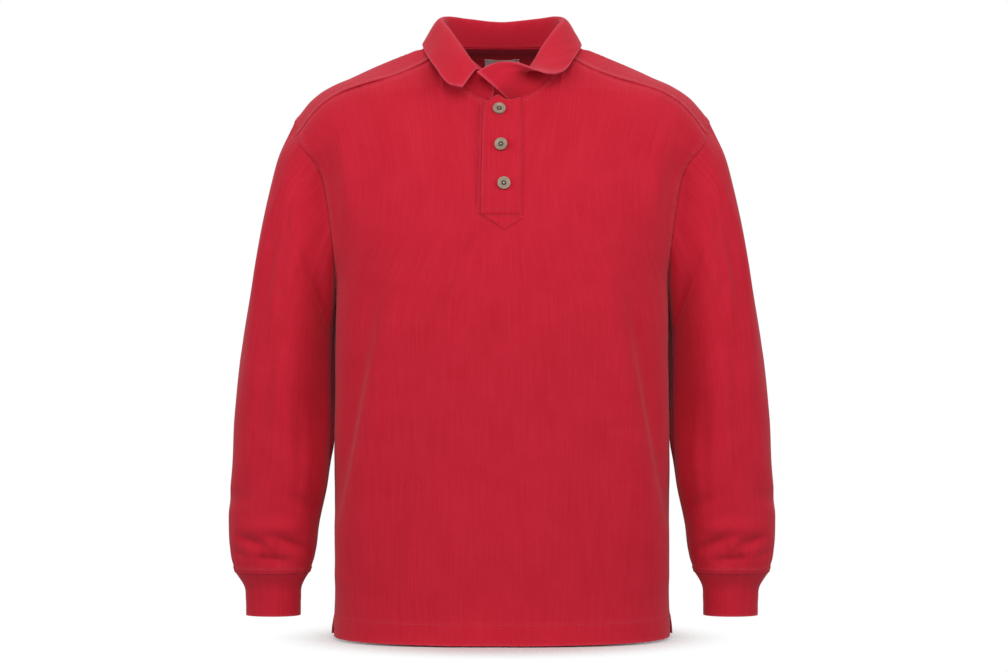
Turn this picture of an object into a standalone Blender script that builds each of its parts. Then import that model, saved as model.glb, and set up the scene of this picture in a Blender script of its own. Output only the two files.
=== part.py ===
"""Henley sweatshirt with a turn-down collar, filled out as if worn, in heavy garment-washed knit.

Metres, +Z up. The front faces -Y, so the wearer's left is at +X. The origin is the middle of the neck
opening, level with the sides of the neck seam. Every cloth piece is a thin closed wall. Its outer face is
a smooth surface through the sections named in the tables below, and its inner face is that surface moved
in by the wall.
"""

import math

import bmesh
import bpy
import numpy as np

# Walls and gaps
SEAM_GAP = 0.0003
BODY_WALL = 0.0016
CUFF_WALL = 0.0030
COLLAR_WALL = 0.0024
UNDER_PLACKET_WALL = 0.0012
OVER_PLACKET_WALL = 0.0018
LABEL_WALL = 0.0006

# Body sections from the hem up. Height runs up the cloth from the hem. The edge is the side seam, and
# from the armpit up the armhole, where the front and back edges stand apart in depth.
ARMPIT_HEIGHT = 0.402
BODY_SECTIONS = (
    # height, centre z, edge z, edge x, front edge y, front depth, back edge y, back depth, roundness
    (0.000, -0.7195, -0.7170, 0.2088, 0.000, 0.138, 0.000, 0.139, 2.7),
    (0.092, -0.625, -0.625, 0.2076, 0.000, 0.141, 0.000, 0.144, 2.7),
    (0.212, -0.505, -0.505, 0.2092, 0.000, 0.139, 0.000, 0.137, 2.7),
    (0.322, -0.395, -0.395, 0.2076, 0.000, 0.141, 0.000, 0.139, 2.7),
    (0.402, -0.315, -0.315, 0.2066, 0.000, 0.142, 0.000, 0.143, 2.7),
    (0.490, -0.227, -0.235, 0.2080, 0.056, 0.136, 0.060, 0.142, 2.7),
    (0.570, -0.150, -0.152, 0.2205, 0.054, 0.120, 0.058, 0.132, 2.6),
)
ARMPIT_SECTION = 4
FRONT_TOP_HEIGHT = 0.680
BACK_RIDGE_HEIGHT = 0.750
BACK_TOP_HEIGHT = 0.795

# Neck seam: an ellipse in plan that dips at the front
NECK_HALF_WIDTH = 0.082
NECK_HALF_DEPTH = 0.0725
NECK_CENTRE_Y = -0.0075
NECK_SIDE_Z = 0.018
NECK_FRONT_DIP = 0.075
NECK_BACK_RISE = 0.002
NECK_DIP_POWER = 1.5
NECK_POINT_ANGLE = math.radians(72)
FRONT_NECK_SHARE = 0.40
BACK_NECK_SHARE = 0.45
BACK_NECK_SPREAD = 0.026
BACK_NECK_SIDE_DROP = 0.0065
BACK_NECK_MIDDLE_DROP = 0.0150
# Share of the neck, from the centre out, over which the cloth keeps to the neck's own direction
NECK_WAY_SHARE = 0.55
# The way the front's cloth runs at the shoulder seam; the back's runs the other way
SHOULDER_WAY = (0.0, 0.82, 0.57)

# Forward shoulder seam, from the neck to the armhole
SHOULDER_SEAM = (
    # x, y, z
    (0.0919, -0.040, -0.0045),
    (0.1374, -0.050, -0.0250),
    (0.1702, -0.049, -0.0345),
    (0.2008, -0.046, -0.0455),
    (0.2222, -0.043, -0.0590),
    (0.2364, -0.040, -0.0735),
    (0.2530, -0.034, -0.0960),
)
# Top of the shoulder, where the back panel turns over to the front
SHOULDER_RIDGE = (
    # x, y, z
    (0.1080, -0.0075, 0.0115),
    (0.1410, -0.0040, -0.0025),
    (0.1650, 0.0000, -0.0125),
    (0.1875, 0.0000, -0.0225),
    (0.2110, 0.0000, -0.0325),
    (0.2275, 0.0000, -0.0425),
    (0.2390, 0.0000, -0.0525),
    (0.2475, 0.0000, -0.0625),
    (0.2590, 0.0000, -0.0790),
)

# Side vents at the hem
VENT_HEIGHT = 0.040
VENT_SPREAD = 0.016
VENT_FLARE = 0.0035

# Front opening under the placket. Its half width is a share of the half panel.
SLIT_ACROSS = 0.006
SLIT_BOTTOM_HEIGHT = 0.535

# Grid of the body's cloth
VENT_ROW_HEIGHTS = (0.0, 0.012, 0.026, VENT_HEIGHT)
SIDE_ROWS = 11
FRONT_UPPER_ROWS = 9
BACK_UPPER_ROWS = 13
SHOULDER_COLUMNS = 7
FRONT_NECK_COLUMNS = 5
BACK_NECK_COLUMNS = 5
SLEEVE_ROWS = 14
SLEEVE_END_ROWS = 9
SLEEVE_END_RUN = 0.45

# How near the panel's seams its folds die out, as a share of the half panel and in metres
FOLD_EDGE_FADE = 0.16
FOLD_TOP_FADE = 0.05

# Soft folds of the body, as straight ridges (proud) and troughs (sunk) seen from the front or the back
BODY_FOLDS = (
    # panel, start x, start z, end x, end z, proud, half width
    ("front", -0.124, -0.285, -0.196, -0.640, 0.0090, 0.017),
    ("front", -0.158, -0.290, -0.203, -0.560, -0.0060, 0.013),
    ("front", -0.080, -0.330, -0.148, -0.650, -0.0055, 0.024),
    ("front", 0.128, -0.280, 0.194, -0.640, 0.0086, 0.018),
    ("front", 0.160, -0.305, 0.203, -0.570, -0.0060, 0.013),
    ("front", 0.086, -0.350, 0.144, -0.670, -0.0052, 0.024),
    ("front", -0.014, -0.222, -0.085, -0.345, -0.0035, 0.012),
    ("front", 0.045, -0.500, 0.032, -0.717, 0.0045, 0.022),
    ("front", -0.045, -0.540, -0.064, -0.717, 0.0045, 0.020),
    ("front", -0.200, -0.095, -0.184, -0.205, 0.0050, 0.013),
    ("front", 0.200, -0.095, 0.184, -0.205, 0.0050, 0.013),
    ("back", -0.115, -0.240, -0.188, -0.600, 0.0085, 0.018),
    ("back", -0.152, -0.270, -0.200, -0.520, -0.0058, 0.014),
    ("back", 0.108, -0.265, 0.184, -0.650, 0.0088, 0.018),
    ("back", 0.148, -0.320, 0.198, -0.600, -0.0060, 0.014),
    ("back", -0.060, -0.290, -0.096, -0.700, -0.0058, 0.026),
    ("back", 0.050, -0.340, 0.080, -0.717, -0.0060, 0.024),
    ("back", 0.005, -0.390, -0.010, -0.717, 0.0050, 0.024),
    ("back", -0.090, -0.125, 0.085, -0.150, -0.0040, 0.018),
)

# Sleeve sections, each a ring from the inner (underarm) point to the outer point. Run is the distance
# down the outer side from the armhole.
SLEEVE_RINGS = (
    # run, outer x, outer z, inner x, inner z, half depth, centre y
    (0.033, 0.2760, -0.114, 0.2112, -0.334, 0.0680, 0.002),
    (0.073, 0.2870, -0.152, 0.2122, -0.350, 0.0720, 0.002),
    (0.134, 0.3000, -0.212, 0.2126, -0.372, 0.0735, 0.001),
    (0.205, 0.3120, -0.282, 0.2128, -0.400, 0.0725, -0.001),
    (0.269, 0.3220, -0.345, 0.2132, -0.432, 0.0700, -0.004),
    (0.346, 0.3310, -0.422, 0.2142, -0.476, 0.0660, -0.008),
    (0.426, 0.3360, -0.502, 0.2165, -0.526, 0.0610, -0.012),
    (0.496, 0.3400, -0.572, 0.2280, -0.580, 0.0545, -0.016),
    (0.539, 0.3375, -0.615, 0.2325, -0.617, 0.0500, -0.018),
    (0.563, 0.3318, -0.6385, 0.2390, -0.6385, 0.0445, -0.019),
)
SLEEVE_LENGTH = 0.563
SLEEVE_GIRTH = 0.38
SLEEVE_ROUNDNESS = 2.2
# How near the armhole, the cuff and the underarm seam the sleeve's creases die out
SLEEVE_TOP_FADE = 0.04
SLEEVE_END_FADE = 0.02
UNDERARM_FADE = 0.10
# Creases of the sleeves. Turn is where on the ring: 0 underarm, 0.25 front, 0.5 outer, 0.75 back.
SLEEVE_FOLDS = (
    # start run, start turn, end run, end turn, proud, half width
    (0.025, 0.31, 0.180, 0.36, -0.0050, 0.012),
    (0.020, 0.68, 0.190, 0.62, -0.0050, 0.013),
    (0.070, 0.42, 0.310, 0.38, 0.0045, 0.015),
    (0.200, 0.27, 0.400, 0.33, -0.0045, 0.013),
    (0.230, 0.80, 0.430, 0.70, -0.0048, 0.014),
    (0.300, 0.52, 0.440, 0.60, 0.0040, 0.014),
    (0.462, 0.30, 0.474, 0.48, -0.0062, 0.009),
    (0.474, 0.06, 0.455, 0.22, -0.0060, 0.009),
    (0.500, 0.16, 0.512, 0.38, 0.0048, 0.009),
    (0.470, 0.58, 0.482, 0.76, -0.0060, 0.009),
    (0.508, 0.62, 0.500, 0.86, 0.0048, 0.009),
)

# Cuff sections from the sleeve seam down
CUFF_RINGS = (
    # z, outer x, inner x, half depth
    (-0.6388, 0.3312, 0.2396, 0.0440),
    (-0.6450, 0.3268, 0.2438, 0.0400),
    (-0.6550, 0.3208, 0.2486, 0.0355),
    (-0.6720, 0.3185, 0.2500, 0.0335),
    (-0.6915, 0.3180, 0.2502, 0.0330),
)
CUFF_CENTRE_Y = -0.019

# Collar sections round the neck, by angle from the centre front, negative towards the wearer's right.
# Open is 0 where the leaf is folded down over the stand and 1 where it stands up unfolded.
COLLAR_SECTIONS = (
    # angle, open, fold x, fold y, fold z, edge x, edge y, edge z
    (-9, 0.00, -0.0310, -0.0850, -0.0185, -0.0485, -0.1085, -0.0420),
    (-25, 0.00, -0.0412, -0.0760, -0.0025, -0.0640, -0.1010, -0.0380),
    (-50, 0.00, -0.0535, -0.0560, 0.0155, -0.0810, -0.0760, -0.0165),
    (-75, 0.00, -0.0655, -0.0310, 0.0340, -0.0925, -0.0420, 0.0020),
    (-100, 0.00, -0.0765, 0.0030, 0.0500, -0.0990, 0.0030, 0.0195),
    (-125, 0.00, -0.0680, 0.0360, 0.0570, -0.0910, 0.0500, 0.0215),
    (-150, 0.00, -0.0410, 0.0600, 0.0560, -0.0560, 0.0830, 0.0185),
    (-180, 0.00, 0.0000, 0.0680, 0.0530, 0.0000, 0.0950, 0.0165),
    (-210, 0.00, 0.0410, 0.0600, 0.0560, 0.0560, 0.0830, 0.0185),
    (-235, 0.00, 0.0680, 0.0360, 0.0570, 0.0910, 0.0500, 0.0215),
    (-260, 0.00, 0.0765, 0.0030, 0.0500, 0.0990, 0.0030, 0.0195),
    (-285, 0.00, 0.0650, -0.0300, 0.0330, 0.0915, -0.0430, 0.0025),
    (-303, 0.05, 0.0500, -0.0520, 0.0110, 0.0755, -0.0790, -0.0165),
    (-316, 0.30, 0.0390, -0.0670, -0.0080, 0.0590, -0.0980, -0.0200),
    (-328, 0.70, 0.0280, -0.0800, -0.0200, 0.0380, -0.1050, -0.0120),
    (-338, 0.95, 0.0180, -0.0900, -0.0270, 0.0140, -0.0960, -0.0030),
    (-347, 1.00, 0.0060, -0.0950, -0.0340, -0.0100, -0.0920, -0.0080),
    (-354, 1.00, -0.0080, -0.0965, -0.0420, -0.0310, -0.0960, -0.0225),
)
COLLAR_FOLD_REACH = 0.023
COLLAR_SEAM_LIFT = 0.0009
COLLAR_FIRST_ANGLE = math.radians(9)
COLLAR_LAST_ANGLE = math.radians(354)
COLLAR_COLUMNS = 40
COLLAR_PARTS = (0.0, 0.35, 0.7, 0.9, 1.0, 1.1, 1.3, 1.65, 2.0)

# Placket, centred on the front
PLACKET_HALF_WIDTH = 0.0255
PLACKET_SQUARE_HEIGHT = 0.517
PLACKET_TIP_DROP = 0.0175
PLACKET_TIP_X = 0.0036
PLACKET_CORNER_WIDTH = 0.020
PLACKET_CORNER_DROP = 0.0065
PLACKET_CORNER_X = -0.005
PLACKET_TOP_DROP = 0.001
UNDER_PLACKET_SHIFT = -0.0040
UNDER_PLACKET_TOP_DROP = 0.008
UNDER_PLACKET_END_HEIGHT = 0.522
PLACKET_COLUMNS = 9
PLACKET_ROWS = 12
# Spacing of the front panel's points that the placket is read from
FRONT_READ_ACROSS = 0.3
FRONT_READ_COLUMNS = 61
FRONT_READ_STEP = 0.003

# Buttons down the placket
BUTTON_PLACES = (
    # x, height up the front panel, tilt in degrees
    (-0.0034, 0.6640, 3.0),
    (-0.0010, 0.6110, -7.0),
    (0.0023, 0.5580, 2.0),
)
BUTTON_RADIUS = 0.0078
BUTTON_THICKNESS = 0.0030
BUTTON_BASE_PART = 0.80
BUTTON_RIM_WIDTH = 0.0014
BUTTON_WELL_RADIUS = 0.0028
BUTTON_SIDES = 18

# Blank label inside the back of the neck
LABEL_HALF_WIDTH = 0.0225
LABEL_TOP_HEIGHT = 0.782
LABEL_BOTTOM_HEIGHT = 0.756
LABEL_CLEARANCE = 0.0006

# Colours, as sRGB
BODY_RED = (0.745, 0.125, 0.190)
BUTTON_TAUPE = (0.420, 0.375, 0.330)
LABEL_PALE = (0.860, 0.830, 0.800)


def clear_scene():
    for old in list(bpy.data.objects):
        bpy.data.objects.remove(old, do_unlink=True)


def make_material(name, srgb, roughness):
    material = bpy.data.materials.new(name)
    material.use_nodes = True
    shader = material.node_tree.nodes["Principled BSDF"]
    linear = [c / 12.92 if c <= 0.04045 else ((c + 0.055) / 1.055) ** 2.4 for c in srgb]
    shader.inputs["Base Color"].default_value = (*linear, 1.0)
    shader.inputs["Roughness"].default_value = roughness
    shader.inputs["Metallic"].default_value = 0.0
    return material


def ease(value):
    """A smooth step from 0 to 1."""
    value = np.clip(value, 0.0, 1.0)
    return value * value * (3.0 - 2.0 * value)


def curve_through(points, knots, at, first_slope=None, last_slope=None):
    """A smooth curve through points, whose first axis follows the knots, read at the values in at."""
    points = np.asarray(points, float)
    knots = np.asarray(knots, float)
    at = np.asarray(at, float)
    column = (-1,) + (1,) * (points.ndim - 1)
    steps = np.diff(knots).reshape(column)
    rises = np.diff(points, axis=0) / steps
    slopes = np.empty_like(points)
    slopes[1:-1] = (steps[1:] * rises[:-1] + steps[:-1] * rises[1:]) / (steps[:-1] + steps[1:])
    slopes[0] = rises[0] if first_slope is None else first_slope
    slopes[-1] = rises[-1] if last_slope is None else last_slope
    index = np.clip(np.searchsorted(knots, at, side="right") - 1, 0, len(knots) - 2)
    step = steps[index]
    part = (at - knots[index]).reshape(column) / step
    return (
        (2 * part**3 - 3 * part**2 + 1) * points[index]
        + (part**3 - 2 * part**2 + part) * step * slopes[index]
        + (3 * part**2 - 2 * part**3) * points[index + 1]
        + (part**3 - part**2) * step * slopes[index + 1]
    )


def unit(vectors):
    return vectors / np.linalg.norm(vectors, axis=-1, keepdims=True)


def normals_of(grid, closed=False):
    """Unit normals of a grid of points: its columns' direction crossed with its rows' direction."""
    if closed:
        across = np.roll(grid, -1, axis=1) - np.roll(grid, 1, axis=1)
    else:
        across = np.gradient(grid, axis=1)
    return unit(np.cross(across, np.gradient(grid, axis=0)))


def fold_height(place, start, end, proud, half_width):
    """How far a fold lifts each place, a pair of flat coordinates. It fades out towards its ends."""
    start = np.array(start)
    run = np.array(end) - start
    part = np.clip(((place - start) @ run) / (run @ run), 0.0, 1.0)
    away = np.linalg.norm(place - start - part[..., None] * run, axis=-1)
    along = 0.35 + 0.65 * np.sin(math.pi * part)
    return proud * along * np.exp(-((away / half_width) ** 2))


def neck_seam(angle):
    """Points of the neck seam, by angle from the centre front."""
    angle = np.asarray(angle, float)
    forward = np.cos(angle)
    dip = np.where(forward > 0, -NECK_FRONT_DIP, NECK_BACK_RISE) * np.abs(forward) ** NECK_DIP_POWER
    x = NECK_HALF_WIDTH * np.sin(angle)
    y = NECK_CENTRE_Y - NECK_HALF_DEPTH * forward
    return np.stack([x, y, NECK_SIDE_Z + dip], axis=-1)


def section_row(section, front, across):
    """One horizontal row of a body panel. Across runs from -1 to 1, seam to seam."""
    centre_z, edge_z, edge_x = section[1:4]
    edge_y, depth = section[4:6] if front else section[6:8]
    power = section[8]
    edge_y = max(edge_y, SEAM_GAP / 2)
    half_width = edge_x / (1 - (edge_y / depth) ** power) ** (1 / power)
    angle = across * math.atan2(edge_x, edge_y)
    width_part = np.abs(np.sin(angle) / half_width) ** power
    depth_part = np.abs(np.cos(angle) / depth) ** power
    radius = (width_part + depth_part) ** (-1 / power)
    facing = -1 if front else 1
    z = centre_z + (edge_z - centre_z) * across**2
    return np.stack([radius * np.sin(angle), facing * radius * np.cos(angle), z], axis=-1)


def mirrored(points, across):
    """Sends points made for the wearer's left to the side that the sign of across gives."""
    sides = np.ones(points.shape)
    sides[..., 0] = np.where(across < 0, -1.0, 1.0)
    return points * sides


def line_at(table, share, first=None):
    """Points of a seam line that a table gives by x, at a share from 0 to 1 of its width."""
    points = np.array(table if first is None else (tuple(first),) + tuple(table))
    x = points[0, 0] + (points[-1, 0] - points[0, 0]) * np.clip(share, 0.0, 1.0)
    return curve_through(points, points[:, 0], x)


def top_row(front, across):
    """The upper edge of a body panel, shoulder seam and neck seam, with the way the cloth runs there."""
    size = np.abs(across)
    neck_share = FRONT_NECK_SHARE if front else BACK_NECK_SHARE
    neck_part = np.clip(size / neck_share, 0.0, 1.0)
    if front:
        angle = NECK_POINT_ANGLE * neck_part
    else:
        angle = math.pi - (math.pi - NECK_POINT_ANGLE) * neck_part
    neck = neck_seam(angle)
    neck_point = neck_seam(NECK_POINT_ANGLE)
    seam = line_at(SHOULDER_SEAM, (size - neck_share) / (1 - neck_share), neck_point)
    points = np.where((size < neck_share)[:, None], neck, seam)
    inward = np.stack([-np.sin(angle), np.cos(angle), np.zeros_like(angle)], -1)
    if front:
        neck_way = inward * 0.6 + np.array([0.0, 0.0, 0.8])
        seam_way = np.array(SHOULDER_WAY)
    else:
        neck_way = inward * 0.85 + np.array([0.0, 0.0, 0.35])
        seam_way = -np.array(SHOULDER_WAY)
    blend = ease((size / neck_share - NECK_WAY_SHARE) / (1 - NECK_WAY_SHARE))[:, None]
    way = unit(neck_way * (1 - blend) + seam_way * blend)
    return mirrored(points, across), mirrored(way, across)


def ridge_row(across):
    """The back panel's line along the tops of the shoulders and round behind the neck."""
    size = np.abs(across)
    part = np.clip(size / BACK_NECK_SHARE, 0.0, 1.0)
    angle = math.pi - math.pi / 2 * part
    outward = np.stack([np.sin(angle), -np.cos(angle), np.zeros_like(angle)], -1)
    behind = neck_seam(angle) + outward * BACK_NECK_SPREAD
    behind[:, 2] -= BACK_NECK_MIDDLE_DROP + (BACK_NECK_SIDE_DROP - BACK_NECK_MIDDLE_DROP) * part
    ridge = line_at(SHOULDER_RIDGE, (size - BACK_NECK_SHARE) / (1 - BACK_NECK_SHARE))
    return mirrored(np.where((size < BACK_NECK_SHARE)[:, None], behind, ridge), across)


def panel(front, across, heights):
    """A grid of points on the outer face of the front or the back: a row for each height."""
    across = np.asarray(across, float)
    heights = np.asarray(heights, float)
    rows = [section_row(section, front, across) for section in BODY_SECTIONS]
    knots = [section[0] for section in BODY_SECTIONS]
    top, way = top_row(front, across)
    if front:
        knots.append(FRONT_TOP_HEIGHT)
    else:
        rows.append(ridge_row(across))
        knots += [BACK_RIDGE_HEIGHT, BACK_TOP_HEIGHT]
    rows = np.array(rows + [top])
    low = ARMPIT_SECTION
    steps = np.diff(knots)[low - 1 : low + 1]
    rises = np.diff(rows, axis=0)[low - 1 : low + 1] / steps[:, None, None]
    slope = (steps[1] * rises[0] + steps[0] * rises[1]) / steps.sum()
    steady = slope.copy()
    steady[:, 1] *= 1 - ease((np.abs(across) - 0.6) / 0.4)
    below = curve_through(rows[: low + 1], knots[: low + 1], heights, last_slope=steady)
    above = curve_through(rows[low:], knots[low:], heights, first_slope=slope, last_slope=way)
    grid = np.where((heights <= ARMPIT_HEIGHT)[:, None, None], below, above)
    outward = normals_of(grid) * (1 if front else -1)
    return grid + outward * panel_relief(front, grid, across, heights)[..., None]


def panel_relief(front, grid, across, heights):
    """How far folds, and the back's flaps at the vents, stand out. Folds fade out at the edges."""
    name = "front" if front else "back"
    place = grid[..., [0, 2]]
    relief = np.zeros(grid.shape[:2])
    for panel_name, x0, z0, x1, z1, proud, half_width in BODY_FOLDS:
        if panel_name == name:
            relief += fold_height(place, (x0, z0), (x1, z1), proud, half_width)
    relief *= ease((1 - np.abs(across)) / FOLD_EDGE_FADE)[None, :]
    top = FRONT_TOP_HEIGHT if front else BACK_TOP_HEIGHT
    relief *= ease((top - heights) / FOLD_TOP_FADE)[:, None]
    if not front:
        low = ease((VENT_HEIGHT - heights) / VENT_HEIGHT)
        near_side = ease((np.abs(across) - 0.8) / 0.2)
        relief += VENT_FLARE * low[:, None] * near_side
    return relief


def vented_panel(front, across, heights):
    """The panel with its side edges drawn apart below the top of the vents."""
    grid = panel(front, across, heights)
    opening = VENT_SPREAD * ease((VENT_HEIGHT - np.asarray(heights)) / (0.4 * VENT_HEIGHT))
    for row in np.nonzero(opening)[0]:
        narrowed = np.asarray(across) * (1 - opening[row])
        grid[row] = panel(front, narrowed, heights[row] + np.array([-0.002, 0.0, 0.002]))[1]
    return grid


def add_cloth(name, outer, inner, material, closed=False, kept=None):
    """One closed wall between two grids of points. Kept says which cells of the grid are cloth."""
    rows, columns = outer.shape[:2]
    spans = columns if closed else columns - 1
    kept = np.ones((rows - 1, spans), bool) if kept is None else kept
    mesh = bmesh.new()
    used = {}

    def corner(layer, row, column):
        key = (layer, row, column % columns)
        if key not in used:
            used[key] = mesh.verts.new((outer, inner)[layer][row, key[2]])
        return used[key]

    def cell(row, column):
        inside = 0 <= row < rows - 1 and (closed or 0 <= column < spans)
        return inside and kept[row, column % spans]

    for row, column in zip(*np.nonzero(kept)):
        ring = [(row, column), (row, column + 1), (row + 1, column + 1), (row + 1, column)]
        mesh.faces.new([corner(0, *place) for place in ring])
        mesh.faces.new([corner(1, *place) for place in reversed(ring)])
        beyond = [(row - 1, column), (row, column + 1), (row + 1, column), (row, column - 1)]
        for side, next_cell in enumerate(beyond):
            if cell(*next_cell):
                continue
            start, end = ring[side], ring[(side + 1) % 4]
            mesh.faces.new([corner(0, *start), corner(1, *start), corner(1, *end), corner(0, *end)])
    return add_object(name, mesh, material)


def add_object(name, mesh, material):
    """Ends a bmesh as a smooth-shaded object with its faces pointing out."""
    bmesh.ops.recalc_face_normals(mesh, faces=mesh.faces)
    data = bpy.data.meshes.new(name)
    mesh.to_mesh(data)
    mesh.free()
    data.materials.append(material)
    data.shade_smooth()
    data.set_sharp_from_angle(angle=math.radians(50))
    obj = bpy.data.objects.new(name, data)
    bpy.context.collection.objects.link(obj)
    return obj


def seam_columns(neck_share, neck_columns, first):
    """Half a panel's columns, from the centre out: some to the neck point, then the shoulder's."""
    neck = np.linspace(first, neck_share, neck_columns + 1)
    return np.concatenate([neck, np.linspace(neck_share, 1.0, SHOULDER_COLUMNS + 1)[1:]])


def row_heights(top, upper_rows):
    """Heights of a panel's rows. Both panels share those below the armpit, close together at the vents."""
    side = np.linspace(VENT_HEIGHT, ARMPIT_HEIGHT, SIDE_ROWS + 1)[1:]
    upper = np.linspace(ARMPIT_HEIGHT, top - SEAM_GAP / 2, upper_rows + 1)[1:]
    return np.concatenate([VENT_ROW_HEIGHTS, side, upper])


def armhole_ring(front_edge, back_edge, front_inside, back_inside):
    """The sleeve's first ring, a gap on from the two panels' edges, with each point's turn.

    Turn 0 is the armpit, 0.25 the front and 0.5 the tip of the shoulder.
    """
    edge = np.concatenate([front_edge, back_edge[-2:0:-1]])
    inside = np.concatenate([front_inside, back_inside[-2:0:-1]])
    edge[0, 1] = 0.0
    around = np.concatenate([edge[-1:], edge, edge[:1]])
    lengths = np.cumsum(np.linalg.norm(np.diff(around, axis=0), axis=1))
    lengths = lengths - lengths[0]
    tip = np.argmax(edge[:, 2] + edge[:, 0])
    turns = np.interp(lengths[:-1], [0.0, lengths[tip], lengths[-1]], [0.0, 0.5, 1.0])
    tangent = unit(around[2:] - around[:-2])
    onward = edge - inside
    onward = unit(onward - (onward * tangent).sum(1, keepdims=True) * tangent)
    onward[0] = (0.0, 0.0, 1.0)
    return edge + onward * SEAM_GAP * 1.2 + np.array([SEAM_GAP * 0.5, 0.0, 0.0]), turns


def build_body(front_upper_rows, back_upper_rows, runs):
    """Outer and inner grids of the front, the back and the wearer's-left arm, with mitred seams."""
    front_half = seam_columns(FRONT_NECK_SHARE, FRONT_NECK_COLUMNS, SLIT_ACROSS)
    back_half = seam_columns(BACK_NECK_SHARE, BACK_NECK_COLUMNS, 0.0)
    front_across = np.concatenate([-front_half[::-1], front_half])
    back_across = np.concatenate([-back_half[:0:-1], back_half])
    front_heights = row_heights(FRONT_TOP_HEIGHT, front_upper_rows)
    back_heights = row_heights(BACK_TOP_HEIGHT, back_upper_rows)
    front = vented_panel(True, front_across, front_heights)
    back = vented_panel(False, back_across, back_heights)
    low = np.argmin(np.abs(front_heights - ARMPIT_HEIGHT))
    ring, turns = armhole_ring(front[low:, -1], back[low:, -1], front[low:, -2], back[low:, -2])
    sleeve = sleeve_surface(ring, turns, runs)
    front_out = normals_of(front)
    back_out = -normals_of(back)
    sleeve_out = -normals_of(sleeve, closed=True)
    flip = np.array([-1.0, 1.0, 1.0])

    shoulder = SHOULDER_COLUMNS + 1
    top = unit(front_out[-1, -shoulder:] + back_out[-1, -shoulder:])
    side = unit(front_out[:low, -1] + back_out[:low, -1])
    front_ring = len(front_heights) - low
    hole = sleeve_out[0].copy()
    hole[:front_ring] += front_out[low:, -1]
    hole[front_ring - 1 :] += back_out[:low:-1, -1]
    hole[0] += back_out[low, -1]
    hole = unit(hole)
    top[-1] = hole[front_ring - 1]
    sleeve_out[0] = hole
    cuff = cuff_surface(turns, [-ring[0] for ring in CUFF_RINGS])
    cuff_out = -normals_of(cuff, closed=True)
    wrist = sleeve_out[-1] + cuff_out[0]
    wrist[:, 2] = 0.0
    sleeve_out[-1] = cuff_out[0] = unit(wrist)
    back_hole = np.concatenate([hole[:1], hole[: front_ring - 2 : -1]])
    for out, edge in ((front_out, hole[:front_ring]), (back_out, back_hole)):
        out[-1, -shoulder:] = top
        out[:low, -1] = side
        out[low:, -1] = edge
        out[-1, :shoulder] = top[::-1] * flip
        out[:low, 0] = side * flip
        out[low:, 0] = edge * flip
    return (
        (front, front - front_out * BODY_WALL),
        (back, back - back_out * BODY_WALL),
        (sleeve, sleeve - sleeve_out * BODY_WALL),
        (cuff, cuff - cuff_out * CUFF_WALL),
        front_heights,
    )


def make_body(material):
    """The front, with its slit under the placket, the back, the sleeves and the cuffs."""
    upper_runs = np.linspace(0.0, SLEEVE_END_RUN, SLEEVE_ROWS)
    lower_runs = np.linspace(SLEEVE_END_RUN, SLEEVE_LENGTH, SLEEVE_END_ROWS)[1:]
    runs = np.concatenate([upper_runs, lower_runs])
    front, back, sleeve, cuff, front_heights = build_body(FRONT_UPPER_ROWS, BACK_UPPER_ROWS, runs)
    kept = np.ones((front[0].shape[0] - 1, front[0].shape[1] - 1), bool)
    kept[np.argmin(np.abs(front_heights - SLIT_BOTTOM_HEIGHT)) :, kept.shape[1] // 2] = False
    add_cloth("front_body", *front, material, kept=kept)
    add_cloth("back_body", *back, material)
    for suffix, flip in (("left", [1.0, 1.0, 1.0]), ("right", [-1.0, 1.0, 1.0])):
        add_cloth("sleeve_" + suffix, sleeve[0] * flip, sleeve[1] * flip, material, closed=True)
        add_cloth("cuff_" + suffix, cuff[0] * flip, cuff[1] * flip, material, closed=True)


def sleeve_ring(section, turns):
    """One ring of the sleeve, a rounded oval from its inner point to its outer point."""
    outer_x, outer_z, inner_x, inner_z, half_depth, centre_y = section[1:]
    angle = 2 * math.pi * np.asarray(turns)
    power = SLEEVE_ROUNDNESS
    radius = (np.abs(np.cos(angle)) ** power + np.abs(np.sin(angle)) ** power) ** (-1 / power)
    reach = -radius * np.cos(angle)
    x = (outer_x + inner_x) / 2 + (outer_x - inner_x) / 2 * reach
    y = centre_y - half_depth * radius * np.sin(angle)
    z = (outer_z + inner_z) / 2 + (outer_z - inner_z) / 2 * reach
    return np.stack([x, y, z], axis=-1)


def sleeve_surface(first_ring, turns, runs):
    """A grid of points on the outer face of the wearer's-left sleeve: a row for each run."""
    rows = [first_ring] + [sleeve_ring(section, turns) for section in SLEEVE_RINGS]
    knots = [0.0] + [section[0] for section in SLEEVE_RINGS]
    grid = curve_through(np.array(rows), knots, runs)
    outward = -normals_of(grid, closed=True)
    place = np.stack(np.broadcast_arrays(runs[:, None], turns[None, :] * SLEEVE_GIRTH), -1)
    relief = np.zeros(grid.shape[:2])
    for run0, turn0, run1, turn1, proud, half_width in SLEEVE_FOLDS:
        start = (run0, turn0 * SLEEVE_GIRTH)
        end = (run1, turn1 * SLEEVE_GIRTH)
        relief += fold_height(place, start, end, proud, half_width)
    ends = ease(runs / SLEEVE_TOP_FADE) * ease((SLEEVE_LENGTH - runs) / SLEEVE_END_FADE)
    underarm = ease(np.minimum(turns, 1 - turns) / UNDERARM_FADE)
    return grid + outward * (relief * ends[:, None] * underarm[None, :])[..., None]


def cuff_surface(turns, heights):
    rings = [
        sleeve_ring((0, outer_x, z, inner_x, z, half_depth, CUFF_CENTRE_Y), turns)
        for z, outer_x, inner_x, half_depth in CUFF_RINGS
    ]
    return curve_through(np.array(rings), [-ring[0] for ring in CUFF_RINGS], heights)


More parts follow.
